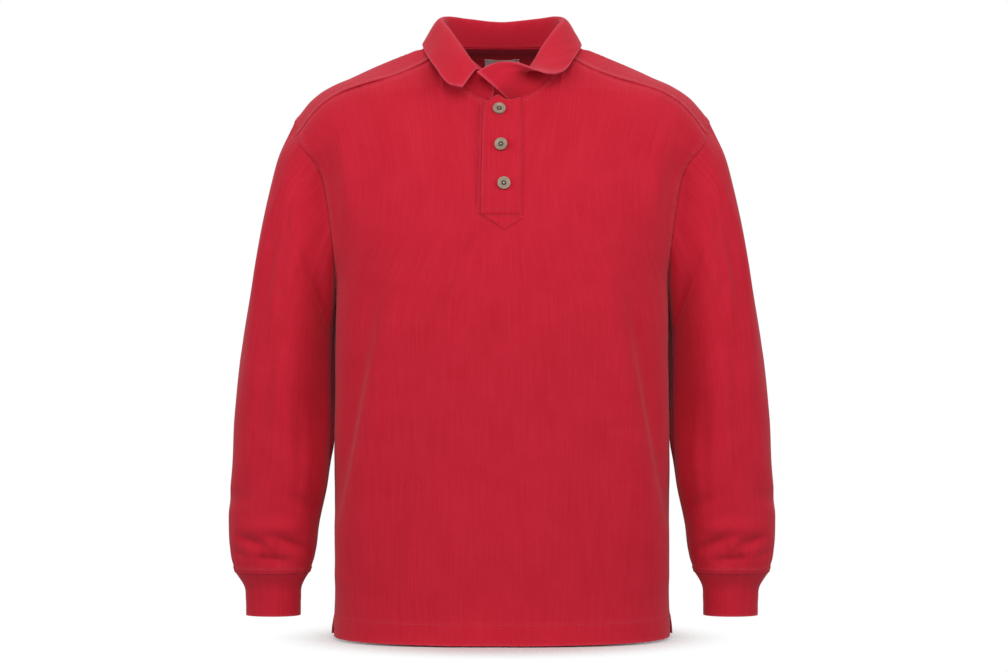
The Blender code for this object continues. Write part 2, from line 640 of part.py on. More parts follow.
def collar_surface(angles, parts):
    """The middle of the collar's wall. A part is 0 at the neck seam, 1 at the fold and 2 at the edge."""
    sections = np.array(COLLAR_SECTIONS)
    knots = -np.radians(sections[:, 0])
    read = curve_through(sections[:, 1:], knots, angles)
    is_open = np.clip(read[:, :1], 0.0, 1.0)
    fold = read[:, 1:4]
    edge = read[:, 4:7]
    base = neck_seam(-angles) + np.array([0.0, 0.0, COLLAR_SEAM_LIFT])
    outward = np.stack([-np.sin(angles), -np.cos(angles), np.zeros_like(angles)], -1)
    over = outward * COLLAR_FOLD_REACH * (1 - is_open) + (edge - base) * 0.5 * is_open
    rows = []
    for part in parts:
        if part <= 1:
            row = curve_through(np.array([base, fold]), [0, 1], [part], fold - base, over)
        else:
            row = curve_through(np.array([fold, edge]), [1, 2], [part], over, edge - fold)
        rows.append(row[0])
    return np.array(rows)


def make_collar(material):
    angles = np.linspace(COLLAR_FIRST_ANGLE, COLLAR_LAST_ANGLE, COLLAR_COLUMNS)
    middle = collar_surface(angles, COLLAR_PARTS)
    shift = normals_of(middle) * COLLAR_WALL / 2
    add_cloth("collar", middle + shift, middle - shift, material)


def front_at(x, heights):
    """Points and normals of the front panel's outer face at places given by x and by height."""
    across = np.linspace(-FRONT_READ_ACROSS, FRONT_READ_ACROSS, FRONT_READ_COLUMNS)
    steps = np.array([-FRONT_READ_STEP, 0.0, FRONT_READ_STEP])
    points = np.empty(x.shape + (3,))
    ways = np.empty(x.shape + (3,))
    for place in np.ndindex(x.shape):
        near = panel(True, across, heights[place] + steps)
        normal = normals_of(near)[1]
        for axis in range(3):
            points[place][axis] = np.interp(x[place], near[1, :, 0], near[1, :, axis])
            ways[place][axis] = np.interp(x[place], near[1, :, 0], normal[:, axis])
    return points, unit(ways)


def make_strip(name, left, right, bottom_of, top_of, lift, wall, material):
    """A strip that lies on the front panel, from the panel's own points moved out."""
    columns = np.linspace(left, right, PLACKET_COLUMNS)
    columns[np.argmin(np.abs(columns - PLACKET_TIP_X))] = PLACKET_TIP_X
    share = np.linspace(0.0, 1.0, PLACKET_ROWS)[:, None]
    heights = bottom_of(columns) * (1 - share) + top_of(columns) * share
    points, ways = front_at(np.broadcast_to(columns, heights.shape), heights)
    add_cloth(name, points + ways * (lift + wall), points + ways * lift, material)


def make_plackets(material):
    top = FRONT_TOP_HEIGHT - SEAM_GAP

    def pointed_end(x):
        slope = np.abs(x - PLACKET_TIP_X) / PLACKET_HALF_WIDTH
        return PLACKET_SQUARE_HEIGHT - PLACKET_TIP_DROP * np.clip(1 - slope, 0.0, 1.0)

    def clipped_top(x):
        share = np.clip((PLACKET_CORNER_X - x) / PLACKET_CORNER_WIDTH, 0.0, 1.0)
        return top - PLACKET_TOP_DROP - PLACKET_CORNER_DROP * share

    make_strip(
        "placket_under",
        -PLACKET_HALF_WIDTH + UNDER_PLACKET_SHIFT,
        PLACKET_HALF_WIDTH + UNDER_PLACKET_SHIFT,
        lambda x: np.full_like(x, UNDER_PLACKET_END_HEIGHT),
        lambda x: np.full_like(x, top - UNDER_PLACKET_TOP_DROP),
        SEAM_GAP,
        UNDER_PLACKET_WALL,
        material,
    )
    make_strip(
        "placket_over",
        -PLACKET_HALF_WIDTH,
        PLACKET_HALF_WIDTH,
        pointed_end,
        clipped_top,
        2 * SEAM_GAP + UNDER_PLACKET_WALL,
        OVER_PLACKET_WALL,
        material,
    )


def button_profile():
    """Half of the turned section, as radius and height above the seat."""
    rim = BUTTON_RADIUS - BUTTON_RIM_WIDTH
    return (
        (0.0, 0.0),
        (BUTTON_RADIUS * BUTTON_BASE_PART, 0.0),
        (BUTTON_RADIUS, BUTTON_THICKNESS * 0.35),
        (BUTTON_RADIUS, BUTTON_THICKNESS * 0.75),
        (BUTTON_RADIUS * 0.94, BUTTON_THICKNESS),
        (rim, BUTTON_THICKNESS * 0.92),
        (rim * 0.92, BUTTON_THICKNESS * 0.62),
        (BUTTON_WELL_RADIUS, BUTTON_THICKNESS * 0.58),
        (BUTTON_WELL_RADIUS * 0.8, BUTTON_THICKNESS * 0.36),
        (0.0, BUTTON_THICKNESS * 0.36),
    )


def make_button(number, x, height, tilt, material):
    """A turned disc on the placket, facing out along the placket's normal and tilted a little."""
    point, way = front_at(np.array([[x]]), np.array([[height]]))
    seat = 3 * SEAM_GAP + UNDER_PLACKET_WALL + OVER_PLACKET_WALL
    seat += BUTTON_RADIUS * BUTTON_BASE_PART * math.sin(math.radians(abs(tilt)))
    facing = way[0, 0]
    sideways = unit(np.cross([0.0, 0.0, 1.0], facing))
    upward = np.cross(facing, sideways)
    turn = math.radians(tilt)
    facing, sideways = (
        facing * math.cos(turn) + sideways * math.sin(turn),
        sideways * math.cos(turn) - facing * math.sin(turn),
    )
    centre = point[0, 0] + way[0, 0] * seat
    mesh = bmesh.new()
    rings = []
    for radius, rise in button_profile():
        count = BUTTON_SIDES if radius else 1
        ring = []
        for step in range(count):
            angle = 2 * math.pi * step / BUTTON_SIDES
            spoke = sideways * math.cos(angle) + upward * math.sin(angle)
            ring.append(mesh.verts.new(centre + spoke * radius + facing * rise))
        rings.append(ring)
    for low, high in zip(rings, rings[1:]):
        for step in range(BUTTON_SIDES):
            after = (step + 1) % BUTTON_SIDES
            corners = [low[step % len(low)], low[after % len(low)]]
            corners += [high[after % len(high)], high[step % len(high)]]
            mesh.faces.new(list(dict.fromkeys(corners)))
    add_object("button_" + str(number), mesh, material)


def make_label(material):
    """A blank label on the inner face of the back, below the neck seam, laid flat between its columns."""
    column = BACK_NECK_SHARE / BACK_NECK_COLUMNS
    face = panel(False, [-column, 0.0, column], np.linspace(LABEL_BOTTOM_HEIGHT, LABEL_TOP_HEIGHT, 4))
    inward = normals_of(face)
    near = BODY_WALL + SEAM_GAP + LABEL_CLEARANCE
    sheets = []
    for depth in (near, near + LABEL_WALL):
        layer = face + inward * depth
        part = LABEL_HALF_WIDTH / layer[:, 2:, 0].mean()
        left = layer[:, 1] * (1 - part) + layer[:, 0] * part
        right = layer[:, 1] * (1 - part) + layer[:, 2] * part
        sheets.append(np.stack([left, layer[:, 1], right], axis=1))
    add_cloth("neck_label", *sheets, material)


def main():
    clear_scene()
    knit = make_material("washed_red_knit", BODY_RED, 0.9)
    button = make_material("taupe_button", BUTTON_TAUPE, 0.45)
    label = make_material("pale_label", LABEL_PALE, 0.8)
    make_body(knit)
    make_collar(knit)
    make_plackets(knit)
    for number, (x, height, tilt) in enumerate(BUTTON_PLACES, start=1):
        make_button(number, x, height, tilt, button)
    make_label(label)


main()
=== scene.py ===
# %% [markdown]
# # A henley sweatshirt in heavy, garment-washed knit
#
# The real thing is sewn from a front, a back, two sleeves, two cuffs and a collar, with a
# buttoned placket at the neck. It is filled out here as if worn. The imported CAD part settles
# where the pieces lie and how large they are, apart from a few sizes that are named below. This
# file makes the cloth again with finer grids, and adds folds, seams, stitches and finishes.

# %% Load the part
import math

import bpy
import numpy as np
from mathutils import Matrix, Vector


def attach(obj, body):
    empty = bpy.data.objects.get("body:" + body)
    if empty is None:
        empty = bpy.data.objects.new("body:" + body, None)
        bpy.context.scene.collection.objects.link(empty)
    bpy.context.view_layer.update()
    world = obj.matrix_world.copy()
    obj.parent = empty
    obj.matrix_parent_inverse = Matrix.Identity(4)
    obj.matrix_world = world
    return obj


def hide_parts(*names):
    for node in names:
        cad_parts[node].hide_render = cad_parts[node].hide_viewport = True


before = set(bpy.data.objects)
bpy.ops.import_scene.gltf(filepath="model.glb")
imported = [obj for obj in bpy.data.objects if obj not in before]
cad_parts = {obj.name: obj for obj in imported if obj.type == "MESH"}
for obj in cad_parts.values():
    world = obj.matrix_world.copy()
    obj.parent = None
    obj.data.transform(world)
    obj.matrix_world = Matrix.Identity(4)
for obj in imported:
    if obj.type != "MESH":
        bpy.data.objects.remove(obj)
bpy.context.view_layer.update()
bpy.ops.object.select_all(action="DESELECT")

# %% [markdown]
# ## Camera
#
# A clothes photo is taken square on, from several metres away with a long lens, so that near and
# far parts keep the same scale. The camera stands 4 m in front, level with the middle of the
# garment.

# %% Camera
CAMERA_PLACE = (0.0025, -4.0, -0.345)
CAMERA_LENS = 114.2857

camera_data = bpy.data.cameras.new("camera")
camera_data.lens = CAMERA_LENS
camera_data.sensor_width = 36.0
camera = bpy.data.objects.new("camera", camera_data)
camera.location = CAMERA_PLACE
camera.rotation_euler = (math.radians(90), 0.0, 0.0)
bpy.context.scene.collection.objects.link(camera)
bpy.context.scene.camera = camera
print("camera looks along +Y from", CAMERA_PLACE)

# %% [markdown]
# ## Smooth curves and surfaces
#
# A pattern cutter thinks in a few sections and joins them with a smooth line. The helpers below
# do the same: a curve passes through named sections, and a surface is many such curves side by
# side.

# %% Curve helpers


def ease(value):
    """A smooth step from 0 to 1."""
    value = np.clip(value, 0.0, 1.0)
    return value * value * (3.0 - 2.0 * value)


def unit(vectors):
    """The vectors, each made 1 long."""
    return vectors / np.linalg.norm(vectors, axis=-1, keepdims=True)


def curve_through(points, knots, at, first_slope=None, last_slope=None):
    """A smooth curve through points, whose first axis follows the knots, read at some values."""
    points = np.asarray(points, float)
    knots = np.asarray(knots, float)
    at = np.asarray(at, float)
    column = (-1,) + (1,) * (points.ndim - 1)
    steps = np.diff(knots).reshape(column)
    rises = np.diff(points, axis=0) / steps
    slopes = np.empty_like(points)
    slopes[1:-1] = (steps[1:] * rises[:-1] + steps[:-1] * rises[1:]) / (steps[:-1] + steps[1:])
    slopes[0] = rises[0] if first_slope is None else first_slope
    slopes[-1] = rises[-1] if last_slope is None else last_slope
    index = np.clip(np.searchsorted(knots, at, side="right") - 1, 0, len(knots) - 2)
    step = steps[index]
    part = (at - knots[index]).reshape(column) / step
    return (
        (2 * part**3 - 3 * part**2 + 1) * points[index]
        + (part**3 - 2 * part**2 + part) * step * slopes[index]
        + (3 * part**2 - 2 * part**3) * points[index + 1]
        + (part**3 - part**2) * step * slopes[index + 1]
    )


print("half way along an ease:", ease(0.5))

# %% Directions, lengths and the height of a fold


def normals_of(grid, closed=False):
    """Unit normals of a grid of points: its columns' direction crossed with its rows' direction."""
    if closed:
        across = np.roll(grid, -1, axis=1) - np.roll(grid, 1, axis=1)
    else:
        across = np.gradient(grid, axis=1)
    return unit(np.cross(across, np.gradient(grid, axis=0)))


def lengths_along(grid, axis):
    """How far each point of a grid lies from the grid's first row or column, along the cloth."""
    steps = np.linalg.norm(np.diff(grid, axis=axis), axis=-1)
    start = np.zeros_like(np.take(steps, [0], axis=axis))
    return np.concatenate([start, np.cumsum(steps, axis=axis)], axis=axis)


def fold_height(place, start, end, proud, half_width):
    """How far a fold lifts each place, a pair of flat coordinates. Its ends fade out."""
    start = np.array(start)
    run = np.array(end) - start
    part = np.clip(((place - start) @ run) / (run @ run), 0.0, 1.0)
    away = np.linalg.norm(place - start - part[..., None] * run, axis=-1)
    along = 0.35 + 0.65 * np.sin(math.pi * part)
    return proud * along * np.exp(-((away / half_width) ** 2))


print("a fold's height at its middle, as a share:", fold_height(np.zeros(2), (-1, 0), (1, 0), 1, 1))

# %% [markdown]
# ## Sizes of the garment
#
# These are the sizes that the CAD part was made from, in metres, so that each new piece lies
# where the one it stands for lies. A few follow the photo more closely than the CAD part does:
# the collar's turned-up end is up to 7.5 mm lower, the label sits 23 mm further down the cloth,
# the middle button is tilted by 10 degrees, not 7, and the sleeve's folds fade out over a shorter
# way. The origin is the middle of the neck opening, and the front faces -Y.

# %% Walls and body sections
SEAM_GAP = 0.0003
BODY_WALL = 0.0016
CUFF_WALL = 0.0030
COLLAR_WALL = 0.0024
UNDER_PLACKET_WALL = 0.0012
OVER_PLACKET_WALL = 0.0018
LABEL_WALL = 0.0006

ARMPIT_HEIGHT = 0.402
ARMPIT_SECTION = 4
BODY_SECTIONS = (
    # height, centre z, edge z, edge x, front edge y and depth, back edge y and depth, roundness
    (0.000, -0.7195, -0.7170, 0.2088, 0.000, 0.138, 0.000, 0.139, 2.7),
    (0.092, -0.625, -0.625, 0.2076, 0.000, 0.141, 0.000, 0.144, 2.7),
    (0.212, -0.505, -0.505, 0.2092, 0.000, 0.139, 0.000, 0.137, 2.7),
    (0.322, -0.395, -0.395, 0.2076, 0.000, 0.141, 0.000, 0.139, 2.7),
    (0.402, -0.315, -0.315, 0.2066, 0.000, 0.142, 0.000, 0.143, 2.7),
    (0.490, -0.227, -0.235, 0.2080, 0.056, 0.136, 0.060, 0.142, 2.7),
    (0.570, -0.150, -0.152, 0.2205, 0.054, 0.120, 0.058, 0.132, 2.6),
)
FRONT_TOP_HEIGHT = 0.680
BACK_RIDGE_HEIGHT = 0.750
BACK_TOP_HEIGHT = 0.795
print("body sections:", len(BODY_SECTIONS))

# %% Neck, shoulders, vents and slit
NECK_HALF_WIDTH = 0.082
NECK_HALF_DEPTH = 0.0725
NECK_CENTRE_Y = -0.0075
NECK_SIDE_Z = 0.018
NECK_FRONT_DIP = 0.075
NECK_BACK_RISE = 0.002
NECK_DIP_POWER = 1.5
NECK_POINT_ANGLE = math.radians(72)
FRONT_NECK_SHARE = 0.40
BACK_NECK_SHARE = 0.45
BACK_NECK_SPREAD = 0.026
BACK_NECK_SIDE_DROP = 0.0065
BACK_NECK_MIDDLE_DROP = 0.0150
NECK_WAY_SHARE = 0.55
SHOULDER_WAY = (0.0, 0.82, 0.57)

SHOULDER_SEAM = (
    # x, y, z
    (0.0919, -0.040, -0.0045),
    (0.1374, -0.050, -0.0250),
    (0.1702, -0.049, -0.0345),
    (0.2008, -0.046, -0.0455),
    (0.2222, -0.043, -0.0590),
    (0.2364, -0.040, -0.0735),
    (0.2530, -0.034, -0.0960),
)
SHOULDER_RIDGE = (
    # x, y, z
    (0.1080, -0.0075, 0.0115),
    (0.1410, -0.0040, -0.0025),
    (0.1650, 0.0000, -0.0125),
    (0.1875, 0.0000, -0.0225),
    (0.2110, 0.0000, -0.0325),
    (0.2275, 0.0000, -0.0425),
    (0.2390, 0.0000, -0.0525),
    (0.2475, 0.0000, -0.0625),
    (0.2590, 0.0000, -0.0790),
)
VENT_HEIGHT = 0.040
VENT_SPREAD = 0.016
VENT_FLARE = 0.0035
SLIT_ACROSS = 0.006
SLIT_BOTTOM_HEIGHT = 0.535
print("points of the shoulder seam:", len(SHOULDER_SEAM), "and of the ridge:", len(SHOULDER_RIDGE))

# %% Sleeve, cuff and collar sections
SLEEVE_RINGS = (
    # run, outer x, outer z, inner x, inner z, half depth, centre y
    (0.033, 0.2760, -0.114, 0.2112, -0.334, 0.0680, 0.002),
    (0.073, 0.2870, -0.152, 0.2122, -0.350, 0.0720, 0.002),
    (0.134, 0.3000, -0.212, 0.2126, -0.372, 0.0735, 0.001),
    (0.205, 0.3120, -0.282, 0.2128, -0.400, 0.0725, -0.001),
    (0.269, 0.3220, -0.345, 0.2132, -0.432, 0.0700, -0.004),
    (0.346, 0.3310, -0.422, 0.2142, -0.476, 0.0660, -0.008),
    (0.426, 0.3360, -0.502, 0.2165, -0.526, 0.0610, -0.012),
    (0.496, 0.3400, -0.572, 0.2280, -0.580, 0.0545, -0.016),
    (0.539, 0.3375, -0.615, 0.2325, -0.617, 0.0500, -0.018),
    (0.563, 0.3318, -0.6385, 0.2390, -0.6385, 0.0445, -0.019),
)
SLEEVE_LENGTH = 0.563
SLEEVE_GIRTH = 0.38
SLEEVE_ROUNDNESS = 2.2
SLEEVE_TOP_FADE = 0.04
SLEEVE_END_FADE = 0.014
UNDERARM_FADE = 0.07
CUFF_RINGS = (
    # z, outer x, inner x, half depth
    (-0.6388, 0.3312, 0.2396, 0.0440),
    (-0.6450, 0.3268, 0.2438, 0.0400),
    (-0.6550, 0.3208, 0.2486, 0.0355),
    (-0.6720, 0.3185, 0.2500, 0.0335),
    (-0.6915, 0.3180, 0.2502, 0.0330),
)
CUFF_CENTRE_Y = -0.019
COLLAR_SECTIONS = (
    # angle, open, fold x, fold y, fold z, edge x, edge y, edge z
    (-9, 0.00, -0.0310, -0.0850, -0.0185, -0.0485, -0.1085, -0.0420),
    (-25, 0.00, -0.0412, -0.0760, -0.0025, -0.0640, -0.1010, -0.0380),
    (-50, 0.00, -0.0535, -0.0560, 0.0155, -0.0810, -0.0760, -0.0165),
    (-75, 0.00, -0.0655, -0.0310, 0.0340, -0.0925, -0.0420, 0.0020),
    (-100, 0.00, -0.0765, 0.0030, 0.0500, -0.0990, 0.0030, 0.0195),
    (-125, 0.00, -0.0680, 0.0360, 0.0570, -0.0910, 0.0500, 0.0215),
    (-150, 0.00, -0.0410, 0.0600, 0.0560, -0.0560, 0.0830, 0.0185),
    (-180, 0.00, 0.0000, 0.0680, 0.0530, 0.0000, 0.0950, 0.0165),
    (-210, 0.00, 0.0410, 0.0600, 0.0560, 0.0560, 0.0830, 0.0185),
    (-235, 0.00, 0.0680, 0.0360, 0.0570, 0.0910, 0.0500, 0.0215),
    (-260, 0.00, 0.0765, 0.0030, 0.0500, 0.0990, 0.0030, 0.0195),
    (-285, 0.00, 0.0650, -0.0300, 0.0330, 0.0915, -0.0430, 0.0025),
    (-303, 0.05, 0.0500, -0.0520, 0.0105, 0.0755, -0.0790, -0.0200),
    (-316, 0.30, 0.0390, -0.0670, -0.0085, 0.0590, -0.0980, -0.0252),
    (-328, 0.70, 0.0280, -0.0800, -0.0225, 0.0380, -0.1050, -0.0190),
    (-338, 0.95, 0.0180, -0.0900, -0.0300, 0.0140, -0.0960, -0.0105),
    (-347, 1.00, 0.0060, -0.0950, -0.0350, -0.0100, -0.0920, -0.0118),
    (-354, 1.00, -0.0080, -0.0965, -0.0420, -0.0310, -0.0960, -0.0225),
)
COLLAR_FOLD_REACH = 0.023
COLLAR_SEAM_LIFT = 0.0009
COLLAR_FIRST_ANGLE = math.radians(9)
COLLAR_LAST_ANGLE = math.radians(354)
print("sleeve rings:", len(SLEEVE_RINGS), "collar sections:", len(COLLAR_SECTIONS))

# %% Placket, button and label sizes
PLACKET_HALF_WIDTH = 0.0255
PLACKET_SQUARE_HEIGHT = 0.517
PLACKET_TIP_DROP = 0.0175
PLACKET_TIP_X = 0.0036
PLACKET_CORNER_WIDTH = 0.020
PLACKET_CORNER_DROP = 0.0065
PLACKET_CORNER_X = -0.005
PLACKET_TOP_DROP = 0.001
UNDER_PLACKET_SHIFT = -0.0040
UNDER_PLACKET_TOP_DROP = 0.008
UNDER_PLACKET_END_HEIGHT = 0.522
BUTTON_PLACES = (
    # x, height up the front panel, tilt in degrees
    (-0.0034, 0.6640, 3.0),
    (-0.0010, 0.6110, -10.0),
    (0.0023, 0.5580, 2.0),
)
BUTTON_RADIUS = 0.0078
BUTTON_THICKNESS = 0.0030
BUTTON_BASE_PART = 0.80
LABEL_HALF_WIDTH = 0.0225
LABEL_TOP_HEIGHT = 0.7592
LABEL_BOTTOM_HEIGHT = 0.7332
LABEL_CLEARANCE = 0.0006
print("buttons:", len(BUTTON_PLACES))

# %% [markdown]
# ## Folds
#
# Heavy knit makes few, soft folds. The long ones hang from the armpits, where the cloth turns
# round the body, and the short ones stack up above the cuffs. Cloth simulation could make folds,
# but not these ones, so each is listed as a soft ridge or trough, uneven in length, depth and
# spacing. The first rows of each table are the CAD part's folds, except for three above the
# cuff, which are softer here. The fine ones after them are added here.

# %% Body folds
BODY_FOLDS = (
    # panel, start x, start z, end x, end z, proud, half width
    ("front", -0.124, -0.285, -0.196, -0.640, 0.0090, 0.017),
    ("front", -0.158, -0.290, -0.203, -0.560, -0.0060, 0.013),
    ("front", -0.080, -0.330, -0.148, -0.650, -0.0055, 0.024),
    ("front", 0.128, -0.280, 0.194, -0.640, 0.0086, 0.018),
    ("front", 0.160, -0.305, 0.203, -0.570, -0.0060, 0.013),
    ("front", 0.086, -0.350, 0.144, -0.670, -0.0052, 0.024),
    ("front", -0.014, -0.222, -0.085, -0.345, -0.0035, 0.012),
    ("front", 0.045, -0.500, 0.032, -0.717, 0.0045, 0.022),
    ("front", -0.045, -0.540, -0.064, -0.717, 0.0045, 0.020),
    ("front", -0.200, -0.095, -0.184, -0.205, 0.0050, 0.013),
    ("front", 0.200, -0.095, 0.184, -0.205, 0.0050, 0.013),
    ("back", -0.115, -0.240, -0.188, -0.600, 0.0085, 0.018),
    ("back", -0.152, -0.270, -0.200, -0.520, -0.0058, 0.014),
    ("back", 0.108, -0.265, 0.184, -0.650, 0.0088, 0.018),
    ("back", 0.148, -0.320, 0.198, -0.600, -0.0060, 0.014),
    ("back", -0.060, -0.290, -0.096, -0.700, -0.0058, 0.026),
    ("back", 0.050, -0.340, 0.080, -0.717, -0.0060, 0.024),
    ("back", 0.005, -0.390, -0.010, -0.717, 0.0050, 0.024),
    ("back", -0.090, -0.125, 0.085, -0.150, -0.0040, 0.018),
    # fine folds
    ("front", -0.140, -0.300, -0.200, -0.600, 0.0020, 0.006),
    ("front", 0.142, -0.295, 0.200, -0.590, 0.0020, 0.006),
    ("front", -0.074, -0.038, -0.165, -0.046, 0.0018, 0.0045),
    ("front", 0.050, -0.040, 0.170, -0.044, 0.0018, 0.0045),
    ("front", -0.028, -0.218, -0.052, -0.262, -0.0026, 0.0070),
    ("front", -0.020, -0.215, -0.064, -0.300, -0.0014, 0.007),
    ("front", -0.030, -0.140, -0.026, -0.215, -0.0010, 0.006),
    ("front", 0.100, -0.420, 0.124, -0.640, 0.0014, 0.010),
    ("front", -0.022, -0.450, -0.034, -0.690, -0.0014, 0.012),
    ("front", 0.004, -0.560, 0.012, -0.715, 0.0014, 0.010),
    ("front", -0.104, -0.480, -0.116, -0.700, 0.0014, 0.011),
    ("back", -0.130, -0.300, -0.186, -0.560, 0.0020, 0.007),
    ("back", 0.122, -0.330, 0.178, -0.610, 0.0020, 0.007),
    ("back", -0.030, -0.430, -0.046, -0.700, 0.0014, 0.011),
    ("back", 0.028, -0.500, 0.040, -0.715, -0.0013, 0.010),
    ("back", -0.060, -0.160, 0.066, -0.172, 0.0012, 0.009),
)
FOLD_EDGE_FADE = 0.16
FOLD_TOP_FADE = 0.05
print("body folds:", len(BODY_FOLDS))

# %% Sleeve folds
SLEEVE_FOLDS = (
    # start run, start turn, end run, end turn, proud, half width
    (0.025, 0.31, 0.180, 0.36, -0.0050, 0.012),
    (0.020, 0.68, 0.190, 0.62, -0.0050, 0.013),
    (0.070, 0.42, 0.310, 0.38, 0.0045, 0.015),
    (0.200, 0.27, 0.400, 0.33, -0.0045, 0.013),
    (0.230, 0.80, 0.430, 0.70, -0.0048, 0.014),
    (0.300, 0.52, 0.440, 0.60, 0.0040, 0.014),
    (0.462, 0.33, 0.474, 0.50, -0.0030, 0.010),
    (0.474, 0.06, 0.455, 0.20, -0.0034, 0.010),
    (0.498, 0.12, 0.506, 0.38, 0.0036, 0.010),
    (0.470, 0.58, 0.482, 0.76, -0.0060, 0.009),
    (0.508, 0.62, 0.500, 0.86, 0.0048, 0.009),
    # fine folds
    (0.020, 0.24, 0.150, 0.27, 0.0018, 0.006),
    (0.024, 0.36, 0.130, 0.40, 0.0016, 0.006),
    (0.516, 0.37, 0.526, 0.27, -0.0052, 0.0065),
    (0.514, 0.23, 0.532, 0.10, -0.0066, 0.0070),
    (0.528, 0.26, 0.520, 0.24, 0.0030, 0.0080),
    (0.542, 0.30, 0.545, 0.18, -0.0046, 0.0050),
    (0.534, 0.42, 0.542, 0.34, -0.0030, 0.0050),
    (0.400, 0.14, 0.470, 0.10, -0.0026, 0.009),
    (0.440, 0.28, 0.500, 0.31, 0.0016, 0.008),
    (0.060, 0.34, 0.240, 0.31, 0.0026, 0.0055),
    (0.200, 0.29, 0.470, 0.24, 0.0026, 0.0070),
    (0.290, 0.19, 0.470, 0.17, -0.0028, 0.0080),
    (0.180, 0.72, 0.420, 0.78, 0.0026, 0.0070),
    (0.512, 0.74, 0.530, 0.90, -0.0056, 0.0070),
    (0.486, 0.62, 0.492, 0.82, -0.0022, 0.006),
    (0.030, 0.60, 0.160, 0.66, 0.0016, 0.006),
)
print("sleeve folds:", len(SLEEVE_FOLDS))

# %% [markdown]
# ## Surfaces of the body
#
# Each row of a panel is part of a rounded oval, from seam to seam. Above the armpit the front and
# the back stand apart to leave the armhole, and the back wraps over the shoulder to the forward
# seam.

# %% Neck seam and panel rows


def neck_seam(angle):
    """Points of the neck seam, by angle from the centre front."""
    angle = np.asarray(angle, float)
    forward = np.cos(angle)
    dip = np.where(forward > 0, -NECK_FRONT_DIP, NECK_BACK_RISE) * np.abs(forward) ** NECK_DIP_POWER
    x = NECK_HALF_WIDTH * np.sin(angle)
    y = NECK_CENTRE_Y - NECK_HALF_DEPTH * forward
    return np.stack([x, y, NECK_SIDE_Z + dip], axis=-1)


def section_row(section, front, across):
    """One horizontal row of a body panel. Across runs from -1 to 1, seam to seam."""
    centre_z, edge_z, edge_x = section[1:4]
    edge_y, depth = section[4:6] if front else section[6:8]
    power = section[8]
    edge_y = max(edge_y, SEAM_GAP / 2)
    half_width = edge_x / (1 - (edge_y / depth) ** power) ** (1 / power)
    angle = across * math.atan2(edge_x, edge_y)
    width_part = np.abs(np.sin(angle) / half_width) ** power
    depth_part = np.abs(np.cos(angle) / depth) ** power
    radius = (width_part + depth_part) ** (-1 / power)
    facing = -1 if front else 1
    z = centre_z + (edge_z - centre_z) * across**2
    return np.stack([radius * np.sin(angle), facing * radius * np.cos(angle), z], axis=-1)


def mirrored(points, across):
    """Sends points made for the wearer's left to the side that the sign of across gives."""
    sides = np.ones(points.shape)
    sides[..., 0] = np.where(across < 0, -1.0, 1.0)
    return points * sides


print("neck seam at the centre front:", neck_seam(0.0).round(4))

# %% Shoulder lines


def line_at(table, share, first=None):
    """Points of a seam line that a table gives by x, at a share from 0 to 1 of its width."""
    points = np.array(table if first is None else (tuple(first),) + tuple(table))
    x = points[0, 0] + (points[-1, 0] - points[0, 0]) * np.clip(share, 0.0, 1.0)
    return curve_through(points, points[:, 0], x)


def top_row(front, across):
    """The upper edge of a body panel, by the shoulder and the neck, and the cloth's way there."""
    size = np.abs(across)
    neck_share = FRONT_NECK_SHARE if front else BACK_NECK_SHARE
    neck_part = np.clip(size / neck_share, 0.0, 1.0)
    if front:
        angle = NECK_POINT_ANGLE * neck_part
    else:
        angle = math.pi - (math.pi - NECK_POINT_ANGLE) * neck_part
    neck = neck_seam(angle)
    neck_point = neck_seam(NECK_POINT_ANGLE)
    seam = line_at(SHOULDER_SEAM, (size - neck_share) / (1 - neck_share), neck_point)
    points = np.where((size < neck_share)[:, None], neck, seam)
    inward = np.stack([-np.sin(angle), np.cos(angle), np.zeros_like(angle)], -1)
    if front:
        neck_way = inward * 0.6 + np.array([0.0, 0.0, 0.8])
        seam_way = np.array(SHOULDER_WAY)
    else:
        neck_way = inward * 0.85 + np.array([0.0, 0.0, 0.35])
        seam_way = -np.array(SHOULDER_WAY)
    blend = ease((size / neck_share - NECK_WAY_SHARE) / (1 - NECK_WAY_SHARE))[:, None]
    way = unit(neck_way * (1 - blend) + seam_way * blend)
    return mirrored(points, across), mirrored(way, across)


def ridge_row(across):
    """The back panel's line along the tops of the shoulders and round behind the neck."""
    size = np.abs(across)
    part = np.clip(size / BACK_NECK_SHARE, 0.0, 1.0)
    angle = math.pi - math.pi / 2 * part
    outward = np.stack([np.sin(angle), -np.cos(angle), np.zeros_like(angle)], -1)
    behind = neck_seam(angle) + outward * BACK_NECK_SPREAD
    behind[:, 2] -= BACK_NECK_MIDDLE_DROP + (BACK_NECK_SIDE_DROP - BACK_NECK_MIDDLE_DROP) * part
    ridge = line_at(SHOULDER_RIDGE, (size - BACK_NECK_SHARE) / (1 - BACK_NECK_SHARE))
    return mirrored(np.where((size < BACK_NECK_SHARE)[:, None], behind, ridge), across)


print("tip of the shoulder ridge:", ridge_row(np.array([1.0]))[0].round(4))

# %% The front and back panels


